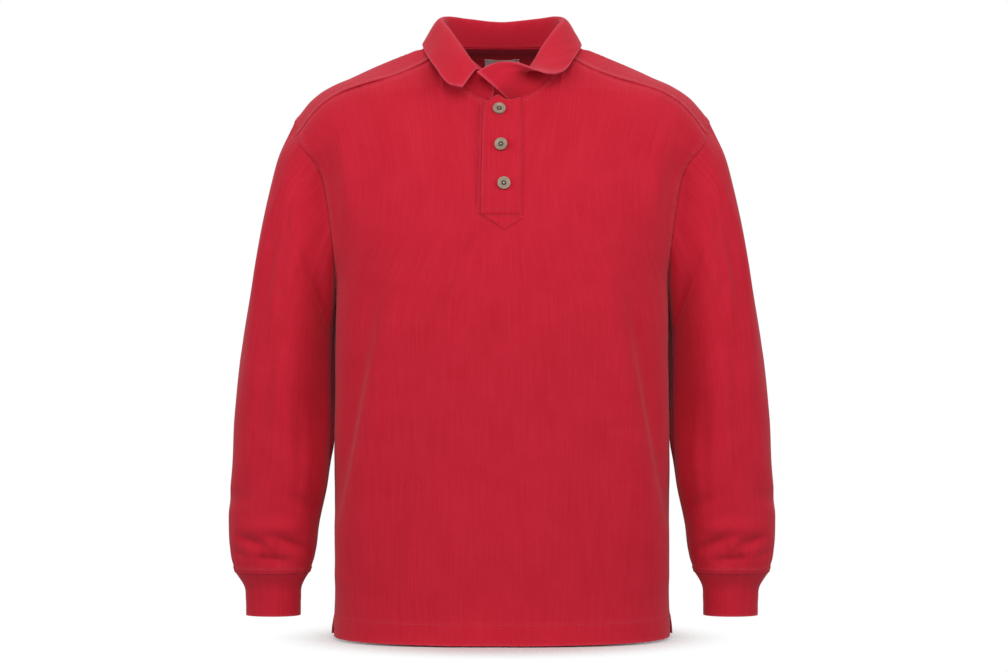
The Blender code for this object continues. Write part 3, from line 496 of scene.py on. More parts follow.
def panel(front, across, heights):
    """A grid of points on the outer face of the front or the back: a row for each height."""
    across = np.asarray(across, float)
    heights = np.asarray(heights, float)
    rows = [section_row(section, front, across) for section in BODY_SECTIONS]
    knots = [section[0] for section in BODY_SECTIONS]
    top, way = top_row(front, across)
    if front:
        knots.append(FRONT_TOP_HEIGHT)
    else:
        rows.append(ridge_row(across))
        knots += [BACK_RIDGE_HEIGHT, BACK_TOP_HEIGHT]
    rows = np.array(rows + [top])
    low = ARMPIT_SECTION
    steps = np.diff(knots)[low - 1 : low + 1]
    rises = np.diff(rows, axis=0)[low - 1 : low + 1] / steps[:, None, None]
    slope = (steps[1] * rises[0] + steps[0] * rises[1]) / steps.sum()
    steady = slope.copy()
    steady[:, 1] *= 1 - ease((np.abs(across) - 0.6) / 0.4)
    below = curve_through(rows[: low + 1], knots[: low + 1], heights, last_slope=steady)
    above = curve_through(rows[low:], knots[low:], heights, first_slope=slope, last_slope=way)
    grid = np.where((heights <= ARMPIT_HEIGHT)[:, None, None], below, above)
    outward = normals_of(grid) * (1 if front else -1)
    return grid + outward * panel_relief(front, grid, across, heights)[..., None]


def panel_relief(front, grid, across, heights):
    """How far folds, and the back's flaps at the vents, stand out. Folds fade out at the edges."""
    name = "front" if front else "back"
    place = grid[..., [0, 2]]
    relief = np.zeros(grid.shape[:2])
    for panel_name, x0, z0, x1, z1, proud, half_width in BODY_FOLDS:
        if panel_name == name:
            relief += fold_height(place, (x0, z0), (x1, z1), proud, half_width)
    relief *= ease((1 - np.abs(across)) / FOLD_EDGE_FADE)[None, :]
    top = FRONT_TOP_HEIGHT if front else BACK_TOP_HEIGHT
    relief *= ease((top - heights) / FOLD_TOP_FADE)[:, None]
    if not front:
        low = ease((VENT_HEIGHT - heights) / VENT_HEIGHT)
        near_side = ease((np.abs(across) - 0.8) / 0.2)
        relief += VENT_FLARE * low[:, None] * near_side
    return relief


def vented_panel(front, across, heights):
    """The panel with its side edges drawn apart below the top of the vents."""
    grid = panel(front, across, heights)
    opening = VENT_SPREAD * ease((VENT_HEIGHT - heights) / (0.4 * VENT_HEIGHT))
    for row in np.nonzero(opening)[0]:
        narrowed = across * (1 - opening[row])
        grid[row] = panel(front, narrowed, heights[row] + np.array([-0.002, 0.0, 0.002]))[1]
    return grid


print("chest at its centre:", panel(True, [-0.1, 0.0, 0.1], [0.49, 0.50, 0.51])[1, 1].round(3))

# %% The sleeves and cuffs


def sleeve_ring(section, turns):
    """One ring of the sleeve, a rounded oval from its inner point to its outer point."""
    outer_x, outer_z, inner_x, inner_z, half_depth, centre_y = section[1:]
    angle = 2 * math.pi * turns
    power = SLEEVE_ROUNDNESS
    radius = (np.abs(np.cos(angle)) ** power + np.abs(np.sin(angle)) ** power) ** (-1 / power)
    reach = -radius * np.cos(angle)
    x = (outer_x + inner_x) / 2 + (outer_x - inner_x) / 2 * reach
    y = centre_y - half_depth * radius * np.sin(angle)
    z = (outer_z + inner_z) / 2 + (outer_z - inner_z) / 2 * reach
    return np.stack([x, y, z], axis=-1)


def sleeve_surface(first_ring, turns, runs):
    """A grid of points on the outer face of the wearer's-left sleeve: a row for each run."""
    rows = [first_ring] + [sleeve_ring(section, turns) for section in SLEEVE_RINGS]
    knots = [0.0] + [section[0] for section in SLEEVE_RINGS]
    grid = curve_through(np.array(rows), knots, runs)
    outward = -normals_of(grid, closed=True)
    place = np.stack(np.broadcast_arrays(runs[:, None], turns[None, :] * SLEEVE_GIRTH), -1)
    relief = np.zeros(grid.shape[:2])
    for run0, turn0, run1, turn1, proud, half_width in SLEEVE_FOLDS:
        start = (run0, turn0 * SLEEVE_GIRTH)
        end = (run1, turn1 * SLEEVE_GIRTH)
        relief += fold_height(place, start, end, proud, half_width)
    ends = ease(runs / SLEEVE_TOP_FADE) * ease((SLEEVE_LENGTH - runs) / SLEEVE_END_FADE)
    underarm = ease(np.minimum(turns, 1 - turns) / UNDERARM_FADE)
    return grid + outward * (relief * ends[:, None] * underarm[None, :])[..., None]


def cuff_surface(turns, heights):
    """A grid of points on the outer face of the wearer's-left cuff: a row for each height."""
    rings = [
        sleeve_ring((0, outer_x, z, inner_x, z, half_depth, CUFF_CENTRE_Y), turns)
        for z, outer_x, inner_x, half_depth in CUFF_RINGS
    ]
    return curve_through(np.array(rings), [-ring[0] for ring in CUFF_RINGS], heights)


print("wrist, outer point:", sleeve_ring(SLEEVE_RINGS[-1], np.array([0.5]))[0].round(4))

# %% [markdown]
# ## From surface to cloth
#
# Real cloth has two faces and a cut edge. Each piece is a grid of points on its outer face, the
# same grid moved in by the wall, and a rim that closes the two. The map of the piece, its UV map,
# is in metres, as near as one width for a whole piece allows, so that knit and streaks follow the
# grain. Each point carries a value for paler edges: those that the garment wash has rubbed, and
# on the collar's rims and fold partly a painted highlight.

# %% Faces of a closed wall


def quads_of(rows, columns, closed, kept):
    """Faces of a closed wall, as rows of four point numbers. Kept says which cells are cloth."""
    spans = columns if closed else columns - 1
    index = np.arange(rows * columns).reshape(rows, columns)
    after = np.roll(index, -1, axis=1)
    corners = [index[:-1, :spans], after[:-1, :spans], after[1:, :spans], index[1:, :spans]]
    cells = np.stack(corners, axis=-1)
    under = rows * columns
    quads = [cells[kept], cells[kept][:, ::-1] + under]
    padded = np.pad(kept, 1)
    if closed:
        padded[1:-1, 0] = kept[:, -1]
        padded[1:-1, -1] = kept[:, 0]
    sides = (
        (padded[:-2, 1:-1], 0, 1),
        (padded[1:-1, 2:], 1, 2),
        (padded[2:, 1:-1], 2, 3),
        (padded[1:-1, :-2], 3, 0),
    )
    for neighbour, start, end in sides:
        edge = cells[kept & ~neighbour]
        first, last = edge[:, start], edge[:, end]
        quads.append(np.stack([first, first + under, last + under, last], axis=-1))
    return np.concatenate(quads)


print("faces of a wall round one cell:", len(quads_of(2, 2, False, np.ones((1, 1), bool))))

# %% Make a piece of cloth from two grids


def add_object(name, data):
    """A new object of the scene, for a mesh or a light."""
    obj = bpy.data.objects.new(name, data)
    bpy.context.scene.collection.objects.link(obj)
    return obj


def add_cloth(name, outer, inner, maps, wear_and_highlight, closed=False, kept=None):
    """One closed wall of cloth, its UV map in metres, and its values of wear and painted highlight.
    """
    rows, columns = outer.shape[:2]
    spans = columns if closed else columns - 1
    if kept is None:
        kept = np.ones((rows - 1, spans), bool)
    quads = quads_of(rows, columns, closed, kept)
    points = np.concatenate([outer.reshape(-1, 3), inner.reshape(-1, 3)])
    sample = quads[0]
    facing = np.cross(points[sample[1]] - points[sample[0]], points[sample[3]] - points[sample[0]])
    if facing @ (outer.reshape(-1, 3)[sample[0]] - inner.reshape(-1, 3)[sample[0]]) < 0:
        quads = quads[:, ::-1]
    used, renumbered = np.unique(quads, return_inverse=True)
    mesh = bpy.data.meshes.new(name)
    mesh.from_pydata(points[used].tolist(), [], renumbered.reshape(-1, 4).tolist())
    uv = mesh.uv_layers.new(name="cloth")
    both = np.concatenate([maps.reshape(-1, 2)] * 2)[used]
    ends = np.empty(len(mesh.loops), np.int32)
    mesh.loops.foreach_get("vertex_index", ends)
    uv.data.foreach_set("uv", both[ends].astype(np.float32).ravel())
    worn_and_highlighted = mesh.attributes.new("wear_and_highlight", "FLOAT", "POINT")
    worn_and_highlighted.data.foreach_set("value", np.concatenate([wear_and_highlight.ravel()] * 2)[used].astype(np.float32))
    mesh.shade_smooth()
    mesh.set_sharp_from_angle(angle=math.radians(60))
    print(name, "has", len(mesh.polygons), "faces")
    return add_object(name, mesh)


print("cloth helper ready")

# %% Measure a piece of cloth


def shut(grid, closed):
    """The grid, with its first column again at the end if it runs all round."""
    return np.concatenate([grid, grid[:, :1]], axis=1) if closed else grid


def area_of(grid, kept=None, closed=False):
    """The area of the cloth in a grid, in square metres."""
    grid = shut(grid, closed)
    first, second = grid[1:, 1:] - grid[:-1, :-1], grid[1:, :-1] - grid[:-1, 1:]
    cells = np.linalg.norm(np.cross(first, second), axis=-1) / 2
    return float(cells.sum() if kept is None else cells[kept].sum())


def flat_size(grid, closed=False):
    """The widest row and the longest column of a piece, along the cloth."""
    round_it = lengths_along(shut(grid, closed), 1)[:, -1]
    return float(round_it.max()), float(lengths_along(grid, 0)[-1].max())


square = np.stack(np.meshgrid([0.0, 1.0], [0.0, 1.0], [0.0]), -1)[:, :, 0]
print("a metre square measures", flat_size(square), "and", area_of(square), "m2")

# %% [markdown]
# ## Seams, hems and puckers
#
# A sewn edge is thicker than the cloth beside it, because its allowance is folded under and
# stitched down, and washing shrinks the thread and so puckers the cloth along it. Both are low
# relief on the outer face: a flat band along the seam, and small uneven waves across it.

# %% Relief along seams


def band(distance, width, soft=0.0012):
    """1 within a width of a seam and 0 past it, with a soft edge."""
    return 1 - ease((distance - width + soft) / (2 * soft))


def near(distance, width):
    """1 on a line, fading to 0 a few widths from it."""
    return np.exp(-((distance / width) ** 2))


def ripple(place, spacing, seed):
    """Uneven waves from -1 to 1 along a line, from several sines of a seeded random phase."""
    draw = np.random.default_rng(seed)
    total = np.zeros_like(place)
    for factor in (0.62, 0.83, 1.0, 1.27, 1.61):
        total += np.sin(2 * math.pi * place * factor / spacing + draw.uniform(0, 2 * math.pi))
    return total / 5


def drift(place_a, place_b, spacing, seed):
    """A soft unevenness over a sheet, from -1 to 1, as broad sines in seeded directions."""
    draw = np.random.default_rng(seed)
    total = np.zeros_like(place_a)
    for _ in range(9):
        angle = draw.uniform(0, math.pi)
        factor = draw.uniform(0.6, 1.7)
        along = place_a * math.cos(angle) + place_b * math.sin(angle)
        total += np.sin(2 * math.pi * along * factor / spacing + draw.uniform(0, 2 * math.pi))
    return total / 9


print("ripple of a 10 mm pucker at 3 mm:", ripple(np.array([0.003]), 0.010, 1).round(3))

# %% [markdown]
# ## The body's cloth
#
# The front, the back and the sleeves share the points of their seams, so that no visible gap
# opens between them. Their rows and columns are mostly 3 to 4 mm apart, and closer at the cuffs,
# so that the folds and the sewn edges show as real shape.

# %% Rows and columns of the front and back
VENT_ROWS = 12
SIDE_ROWS = 110
FRONT_UPPER_ROWS = 80
BACK_UPPER_ROWS = 112
SHOULDER_COLUMNS = 46
NECK_COLUMNS = 36
SLEEVE_ROWS = 165
CUFF_ROWS = 20


def seam_columns(neck_share, first):
    """Half a panel's columns, from the centre out: some to the neck point, then the shoulder's."""
    neck = np.linspace(first, neck_share, NECK_COLUMNS + 1)
    return np.concatenate([neck, np.linspace(neck_share, 1.0, SHOULDER_COLUMNS + 1)[1:]])


def row_heights(top, upper_rows):
    """Heights of a panel's rows. Both panels share those below the armpit."""
    vent = np.linspace(0.0, VENT_HEIGHT, VENT_ROWS + 1)
    side = np.linspace(VENT_HEIGHT, ARMPIT_HEIGHT, SIDE_ROWS + 1)[1:]
    upper = np.linspace(ARMPIT_HEIGHT, top - SEAM_GAP / 2, upper_rows + 1)[1:]
    return np.concatenate([vent, side, upper])


print("rows below the armpit:", VENT_ROWS + SIDE_ROWS)

# %% The armhole, and the front and back grids


def armhole_ring(front_edge, back_edge, front_inside, back_inside):
    """The sleeve's first ring, a gap on from the two panels' edges, with each point's turn.

    Turn 0 is the armpit, 0.25 the front and 0.5 the tip of the shoulder.
    """
    edge = np.concatenate([front_edge, back_edge[-2:0:-1]])
    inside = np.concatenate([front_inside, back_inside[-2:0:-1]])
    edge[0, 1] = 0.0
    around = np.concatenate([edge[-1:], edge, edge[:1]])
    lengths = np.cumsum(np.linalg.norm(np.diff(around, axis=0), axis=1))
    lengths = lengths - lengths[0]
    tip = np.argmax(edge[:, 2] + edge[:, 0])
    turns = np.interp(lengths[:-1], [0.0, lengths[tip], lengths[-1]], [0.0, 0.5, 1.0])
    tangent = unit(around[2:] - around[:-2])
    onward = edge - inside
    onward = unit(onward - (onward * tangent).sum(1, keepdims=True) * tangent)
    onward[0] = (0.0, 0.0, 1.0)
    return edge + onward * SEAM_GAP * 1.2 + np.array([SEAM_GAP * 0.5, 0.0, 0.0]), turns


front_half = seam_columns(FRONT_NECK_SHARE, SLIT_ACROSS)
back_half = seam_columns(BACK_NECK_SHARE, 0.0)
front_across = np.concatenate([-front_half[::-1], front_half])
back_across = np.concatenate([-back_half[:0:-1], back_half])
front_heights = row_heights(FRONT_TOP_HEIGHT, FRONT_UPPER_ROWS)
back_heights = row_heights(BACK_TOP_HEIGHT, BACK_UPPER_ROWS)
front = vented_panel(True, front_across, front_heights)
back = vented_panel(False, back_across, back_heights)
print("front grid", front.shape[:2], "back grid", back.shape[:2])

# %% The sleeve and cuff grids
# how far out the body reaches beside the upper sleeve, with about 2.5 mm to spare
BESIDE_WIDTH = 0.2115
BESIDE_DEPTH = 0.1450
BESIDE_ROUNDNESS = 2.7
DRAWN_BACK = 0.020
TUCKED_IN = 0.017
low = VENT_ROWS + SIDE_ROWS
ring, turns = armhole_ring(front[low:, -1], back[low:, -1], front[low:, -2], back[low:, -2])
runs = np.linspace(0.0, SLEEVE_LENGTH, SLEEVE_ROWS)
sleeve = sleeve_surface(ring, turns, runs)
# the upper sleeve hangs a little behind the body: its inner front is drawn back, and its inner back
# lies close to the back panel, so that the two meet when seen from the front
beside_body = (ease((runs - 0.008) / 0.045) * ease((0.430 - runs) / 0.150))[:, None]
drawn_back = DRAWN_BACK * near(turns - 0.12, 0.080) * beside_body
tucked_in = TUCKED_IN * (near(turns - 0.90, 0.060) + 0.25 * near(turns - 0.97, 0.040)) * beside_body
sleeve[..., 1] += drawn_back
depth_part = np.clip(np.abs(sleeve[..., 1]) / BESIDE_DEPTH, 0.0, 0.95)
side_of_body = BESIDE_WIDTH * (1 - depth_part**BESIDE_ROUNDNESS) ** (1 / BESIDE_ROUNDNESS)
sleeve[..., 0] = np.maximum(sleeve[..., 0] - tucked_in, np.minimum(sleeve[..., 0], side_of_body))
cuff = cuff_surface(turns, np.linspace(-CUFF_RINGS[0][0], -CUFF_RINGS[-1][0], CUFF_ROWS))
print("sleeve grid", sleeve.shape[:2], "cuff grid", cuff.shape[:2])

# %% The directions that all seams share
front_out = normals_of(front)
back_out = -normals_of(back)
sleeve_out = -normals_of(sleeve, closed=True)
cuff_out = -normals_of(cuff, closed=True)

shoulder = SHOULDER_COLUMNS + 1
front_ring = len(front_heights) - low
top_out = unit(front_out[-1, -shoulder:] + back_out[-1, -shoulder:])
side_out = unit(front_out[:low, -1] + back_out[:low, -1])
hole_out = sleeve_out[0].copy()
hole_out[:front_ring] += front_out[low:, -1]
hole_out[front_ring - 1 :] += back_out[:low:-1, -1]
hole_out[0] += back_out[low, -1]
hole_out = unit(hole_out)
top_out[-1] = hole_out[front_ring - 1]
sleeve_out[0] = hole_out
wrist_out = sleeve_out[-1] + cuff_out[0]
wrist_out[:, 2] = 0.0
sleeve_out[-1] = cuff_out[0] = unit(wrist_out)
back_hole_out = np.concatenate([hole_out[:1], hole_out[: front_ring - 2 : -1]])
flip = np.array([-1.0, 1.0, 1.0])
SIDES = (("left", np.ones(3)), ("right", flip))
for out, edge in ((front_out, hole_out[:front_ring]), (back_out, back_hole_out)):
    out[-1, -shoulder:] = top_out
    out[:low, -1] = side_out
    out[low:, -1] = edge
    out[-1, :shoulder] = top_out[::-1] * flip
    out[:low, 0] = side_out * flip
    out[low:, 0] = edge * flip
print("the armpit's cloth faces", hole_out[0].round(2))

# %% [markdown]
# ## Sewn edges of the body
#
# The hem is turned up by 25 mm. The shoulder seam's allowance is pressed to the back and stitched
# twice, which makes the raised strip along it. At the armholes the allowance is pressed to the
# body.

# %% Relief and wear of the front and back
HEM_DEPTH = 0.0250
SEAM_BAND = 0.0068
NECK_BAND = 0.0058
# how far the washed cloth's unevenness, the sewn bands and the puckers stand out
BROAD_UNEVENNESS = 0.0009
FINE_UNEVENNESS = 0.0003
HEM_RISE = 0.0006
ARMHOLE_RISE = 0.0008
VENT_RISE = 0.0005
NECK_RISE = 0.0007
SHOULDER_RISE = 0.0013
SEAM_PUCKER = 0.0006
NECK_PUCKER = 0.0005


def panel_details(grid, across, heights, neck_share, is_front):
    """Relief over the folds, and wear, of a body panel."""
    seed = 11 if is_front else 41
    along = lengths_along(grid, 1)
    from_side = np.minimum(along, along[:, -1:] - along)
    from_hem = lengths_along(grid, 0)
    from_top = from_hem[-1:] - from_hem
    above = ease((heights - ARMPIT_HEIGHT + 0.004) / 0.008)[:, None]
    at_vent = ease((VENT_HEIGHT + 0.002 - heights) / 0.004)[:, None]
    at_neck = ease((neck_share - np.abs(across)) / 0.02)[None, :]
    x, z = grid[..., 0], grid[..., 2]

    relief = BROAD_UNEVENNESS * drift(x, z, 0.110, seed)
    relief = relief + FINE_UNEVENNESS * drift(x, z, 0.034, seed + 1)
    # the hem's doubled band, with the groove of its stitches, and its puckers
    relief += HEM_RISE * band(from_hem, HEM_DEPTH) - HEM_RISE * near(from_hem - HEM_DEPTH, 0.0014)
    relief += SEAM_PUCKER * near(from_hem - 0.021, 0.012) * ripple(x, 0.017, seed + 2)
    # the armhole's band and puckers, and the vent's band
    pulled = near(from_side - 0.009, 0.010)
    relief += above * ARMHOLE_RISE * band(from_side, SEAM_BAND)
    relief += above * SEAM_PUCKER * pulled * ripple(from_hem, 0.014, seed + 3)
    relief += at_vent * VENT_RISE * band(from_side, SEAM_BAND)
    # the neck's band and puckers, and the strip along the shoulder seam
    relief += at_neck * NECK_RISE * band(from_top, NECK_BAND)
    relief += NECK_PUCKER * near(from_top - 0.009, 0.009) * ripple(x, 0.013, seed + 4)
    if not is_front:
        relief += (1 - at_neck) * SHOULDER_RISE * band(from_top, SEAM_BAND)
    # edges and ridges that rub: the hem, the armholes, the vents, and the neck and shoulders
    wear_and_highlight = 0.35 * near(from_hem, 0.0020) + 0.08 * near(from_hem - HEM_DEPTH - 0.002, 0.0025)
    wear_and_highlight += (
        above * 0.12 * near(from_side - SEAM_BAND, 0.0020)
        + at_vent * 0.35 * near(from_side, 0.0022)
    )
    wear_and_highlight += 0.12 * near(from_top - SEAM_BAND, 0.0022)
    if not is_front:
        wear_and_highlight += (1 - at_neck) * 0.22 * band(from_top, SEAM_BAND)
    return relief, np.clip(wear_and_highlight, 0.0, 1.0)


front_relief, front_wear = panel_details(front, front_across, front_heights, FRONT_NECK_SHARE, True)
back_relief, back_wear = panel_details(back, back_across, back_heights, BACK_NECK_SHARE, False)
front += front_out * front_relief[..., None]
back += back_out * back_relief[..., None]
print("front relief in mm:", np.round([1000 * front_relief.min(), 1000 * front_relief.max()], 2))

# %% Relief and wear of the sleeves and cuffs
CUFF_BAND = 0.0075
CUFF_SEAM_RISE = 0.0009
CUFF_GATHER = 0.0013
SLEEVE_TOP_PUCKER = 0.0007
UNDERARM_GROOVE = 0.0007
CUFF_UNEVENNESS = 0.0004
girths = turns[None, :] * SLEEVE_GIRTH
from_cuff = (SLEEVE_LENGTH - runs)[:, None]
from_underarm = np.minimum(turns, 1 - turns)[None, :] * SLEEVE_GIRTH
away_from_ends = ease(runs / 0.01)[:, None] * ease((SLEEVE_LENGTH - runs) / 0.01)[:, None]
sleeve_relief = BROAD_UNEVENNESS * drift(sleeve[..., 1], sleeve[..., 2], 0.090, 71) * away_from_ends
sleeve_relief += CUFF_SEAM_RISE * band(from_cuff, CUFF_BAND) * ease(from_cuff / 0.0008)
sleeve_relief += CUFF_GATHER * near(from_cuff - 0.018, 0.011) * ripple(girths, 0.024, 72)
pulled = near(runs[:, None] - 0.010, 0.010)
sleeve_relief += SLEEVE_TOP_PUCKER * pulled * ripple(girths, 0.015, 73)
sleeve_relief -= UNDERARM_GROOVE * near(from_underarm, 0.0020) * away_from_ends
sleeve_wear = 0.16 * near(from_cuff - CUFF_BAND, 0.002) + 0.12 * near(runs[:, None] - 0.0015, 0.002)
sleeve_wear = np.clip(sleeve_wear + 0.12 * near(from_underarm - 0.003, 0.002), 0.0, 1.0)
sleeve += sleeve_out * sleeve_relief[..., None]

cuff_down = lengths_along(cuff, 0)
cuff_relief = CUFF_UNEVENNESS * drift(cuff[..., 0], cuff[..., 2], 0.030, 81)
cuff_relief = cuff_relief * ease(cuff_down / 0.006)
cuff_wear = 0.45 * near(cuff_down[-1:] - cuff_down, 0.0018) + 0.12 * near(cuff_down, 0.002)
cuff += cuff_out * cuff_relief[..., None]
print("sleeve relief in mm:", np.round([1000 * sleeve_relief.min(), 1000 * sleeve_relief.max()], 2))

# %% Make the front, back, sleeves and cuffs
made = {}
front_kept = np.ones((front.shape[0] - 1, front.shape[1] - 1), bool)
slit_row = np.argmin(np.abs(front_heights - SLIT_BOTTOM_HEIGHT))
front_kept[slit_row:, front_kept.shape[1] // 2] = False
BODY_HALF_GIRTH = 0.30
CUFF_GIRTH = 0.22


def map_of(across, along):
    """A UV map from places across and along the cloth, in metres."""
    return np.stack(np.broadcast_arrays(across, along), -1)


front_maps = map_of(front_across * BODY_HALF_GIRTH, front_heights[:, None])
back_maps = map_of(back_across * BODY_HALF_GIRTH, back_heights[:, None])
front_inner = front - front_out * BODY_WALL
back_inner = back - back_out * BODY_WALL
made["front_cloth"] = add_cloth(
    "front_cloth", front, front_inner, front_maps, front_wear, kept=front_kept
)
made["back_cloth"] = add_cloth("back_cloth", back, back_inner, back_maps, back_wear)
TUBES = (
    # piece, outer face, its directions, wall, map, wear
    ("sleeve_cloth_", sleeve, sleeve_out, BODY_WALL, map_of(girths, -runs[:, None]), sleeve_wear),
    ("cuff_cloth_", cuff, cuff_out, CUFF_WALL, map_of(turns * CUFF_GIRTH, -cuff_down), cuff_wear),
)
for side, turned in SIDES:
    for start, outer, out, wall, maps, wear_and_highlight in TUBES:
        inner = outer - out * wall
        made[start + side] = add_cloth(
            start + side, outer * turned, inner * turned, maps, wear_and_highlight, closed=True
        )

# %% [markdown]
# ## Collar
#
# The collar is one doubled piece: a stand rises from the neck seam, and a leaf folds over it. On
# the wearer's right the leaf lies flat. On the left it has flipped up, so the end stands open
# across the neck, as in the photo. Its sections change smoothly from the one to the other.

# %% The collar's cloth
COLLAR_COLUMNS = 230
COLLAR_ROWS = 46
STAND_END_REACH = 0.0110
COLLAR_WAVE = 0.0007
COLLAR_UNEVENNESS = 0.0004


def collar_surface(angles, parts):
    """The middle of the collar's wall. A part is 0 at the neck, 1 at the fold, 2 at the edge."""
    sections = np.array(COLLAR_SECTIONS)
    knots = -np.radians(sections[:, 0])
    read = curve_through(sections[:, 1:], knots, angles)
    is_open = np.clip(read[:, :1], 0.0, 1.0)
    fold = read[:, 1:4]
    edge = read[:, 4:7]
    base = neck_seam(-angles) + np.array([0.0, 0.0, COLLAR_SEAM_LIFT])
    outward = np.stack([-np.sin(angles), -np.cos(angles), np.zeros_like(angles)], -1)
    over = outward * COLLAR_FOLD_REACH * (1 - is_open) + (edge - base) * 0.5 * is_open
    rows = []
    for part in parts:
        if part <= 1:
            row = curve_through(np.array([base, fold]), [0, 1], [part], fold - base, over)
        else:
            row = curve_through(np.array([fold, edge]), [1, 2], [part], over, edge - fold)
        rows.append(row[0])
    return np.array(rows)


collar_angles = np.linspace(COLLAR_FIRST_ANGLE, COLLAR_LAST_ANGLE, COLLAR_COLUMNS)
collar_parts = np.linspace(0.0, 2.0, COLLAR_ROWS)
collar = collar_surface(collar_angles, collar_parts)
# the stand's end behind the turned-up end is rounded, and reaches on past the edge of the leaf
stand_part = np.clip(collar_parts, 0.0, 1.0)[:, None]
at_end = ease(1 - (collar_angles - COLLAR_FIRST_ANGLE) / math.radians(16))[None, :]
collar[..., 0] += STAND_END_REACH * 4 * stand_part * (1 - stand_part) * at_end
collar_out = normals_of(collar)
collar_round = lengths_along(collar, 1)
collar_up = lengths_along(collar, 0)
to_edge = collar_up[-1:] - collar_up
to_end = np.minimum(collar_round, collar_round[:, -1:] - collar_round)
rim = np.minimum(to_edge, to_end)
collar_wave = COLLAR_WAVE * ripple(collar_round, 0.050, 91) * near(to_edge, 0.016)
collar_wave += COLLAR_UNEVENNESS * drift(collar_round, collar_up, 0.040, 92)
collar += collar_out * (collar_wave * ease(collar_up / 0.006))[..., None]
thickness = 0.72 + 0.28 * ease(rim / 0.004) + 0.30 * near(rim - 0.0025, 0.0022)
collar_half = COLLAR_WALL / 2 * thickness
folded = 1 - ease((np.degrees(collar_angles) - 305) / 25)[None, :]
# the collar's rims and its fold are drawn paler: partly rubbed wear, partly a painted highlight
# along them
collar_wear_and_highlight = 0.80 * near(rim, 0.0016) + 0.28 * folded * near(collar_parts[:, None] - 1, 0.06)
collar_wear_and_highlight = np.clip(collar_wear_and_highlight, 0.0, 1.0)
collar_maps = np.stack([collar_round, collar_up], -1)
collar_shift = collar_out * np.minimum(collar_half, COLLAR_WALL / 2)[..., None]
collar_face = collar + collar_shift
made["collar_cloth"] = add_cloth(
    "collar_cloth", collar_face, collar - collar_shift, collar_maps, collar_wear_and_highlight
)

# %% [markdown]
# ## Placket
#
# Two doubled strips lie on the front. The upper one laps the wearer's left over the right and
# ends in a point. Both are made from the front's own points moved out, so that they follow its
# folds.

# %% Read points on a panel


def reader_of(grid, normals, heights):
    """A function that reads points and directions on a panel, by x and height up the cloth."""
    line = np.linspace(-0.19, 0.19, 381)
    both = np.concatenate([grid, normals], axis=-1)
    table = np.empty((len(heights), len(line), 6))
    for row, axis in np.ndindex(len(heights), 6):
        table[row, :, axis] = np.interp(line, grid[row, :, 0], both[row, :, axis])

    def read(x, height):
        x, height = np.broadcast_arrays(np.asarray(x, float), np.asarray(height, float))
        row = np.interp(height, heights, np.arange(len(heights)))
        column = np.clip((x - line[0]) / (line[1] - line[0]), 0, len(line) - 1.001)
        row0 = np.minimum(row.astype(int), len(heights) - 2)
        column0 = column.astype(int)
        down, across = (row - row0)[..., None], (column - column0)[..., None]
        upper = table[row0, column0] * (1 - across) + table[row0, column0 + 1] * across
        lower = table[row0 + 1, column0] * (1 - across) + table[row0 + 1, column0 + 1] * across
        mixed = upper * (1 - down) + lower * down
        return mixed[..., :3], unit(mixed[..., 3:])

    return read


read_front = reader_of(front, front_out, front_heights)
read_back = reader_of(back, back_out, back_heights)
print("centre of the chest:", read_front(0.0, 0.50)[0].round(3))

# %% Make a strip on the front
PLACKET_COLUMNS = 43
PLACKET_ROWS = 130
STRIP_EDGE = 0.0016
# where a strip is sewn down, its edge sinks into the knit beneath it
SEWN_LIFT = -0.0006
FREE_EDGE_SLANT = 0.0034
FREE_EDGE_CURL = 0.0032
CURL_WIDTH = 0.0065
CURL_LOW_HEIGHT = 0.524
CURL_LOW_FADE = 0.020
CURL_TOP_FADE = 0.014
CORNER_RISE = 0.0070
RIM_SWELL = 0.0005
placket_top = FRONT_TOP_HEIGHT - SEAM_GAP


def edge_curl(from_edge, heights, top):
    """1 where the free edge stands off what it laps, fading to 0 inwards and at both ends."""
    along = ease((heights - CURL_LOW_HEIGHT) / CURL_LOW_FADE)
    return near(from_edge, CURL_WIDTH) * along * ease((top - heights) / CURL_TOP_FADE)


def add_strip(name, left, right, bottom_of, top_of, lift, wall, sewn_down, rise, curl):
    """A strip on the front panel, with a rounded edge, flat on it where it is sewn down."""
    columns = np.linspace(left, right, PLACKET_COLUMNS)
    columns[np.argmin(np.abs(columns - PLACKET_TIP_X))] = PLACKET_TIP_X
    share = np.linspace(0.0, 1.0, PLACKET_ROWS)[:, None]
    heights = bottom_of(columns) * (1 - share) + top_of(columns) * share
    bottom, top = heights[:1], heights[-1:]
    slant = FREE_EDGE_SLANT * (heights - bottom) / (top - bottom)
    x = columns + slant * (right - columns) / (right - left)
    points, ways = read_front(x, heights)
    left = left + slant
    rim = np.minimum(np.minimum(x - left, right - x), np.minimum(heights - bottom, top - heights))
    sewn = sewn_down(x, heights)
    lift = lift * (1 - sewn) + SEWN_LIFT * sewn
    lift = lift + curl * edge_curl(x - left, heights, top)
    edge = 0.55 * (1 - sewn) + 0.42 * sewn
    thick = wall * (edge + (1 - edge) * ease(rim / (STRIP_EDGE * (1 + sewn))))
    swell = RIM_SWELL * near(rim - 0.003, 0.0020)
    swell = swell + FINE_UNEVENNESS * drift(x, heights, 0.028, 95)
    outer = points + ways * (lift + thick + swell * ease(rim / 0.002))[..., None]
    inner = points + ways * lift[..., None]
    # the upper corner stands up over the neck seam, behind the turned-up end of the collar
    raised = rise * near(x + 0.006, 0.008) * ease((heights - top + 0.020) / 0.020)
    outer[..., 2] += raised
    inner[..., 2] += raised
    maps = np.stack([x, heights], -1)
    made[name] = add_cloth(name, outer, inner, maps, 0.35 * (1 - sewn) * near(rim, 0.0011))
    return outer


print("the placket's top is at height", round(placket_top, 4))

# %% Shapes of the placket's ends, and the two strips


def pointed_end(x):
    """Height of the over-placket's lower end, which runs out in a point."""
    slope = np.abs(x - PLACKET_TIP_X) / PLACKET_HALF_WIDTH
    return PLACKET_SQUARE_HEIGHT - PLACKET_TIP_DROP * np.clip(1 - slope, 0.0, 1.0)


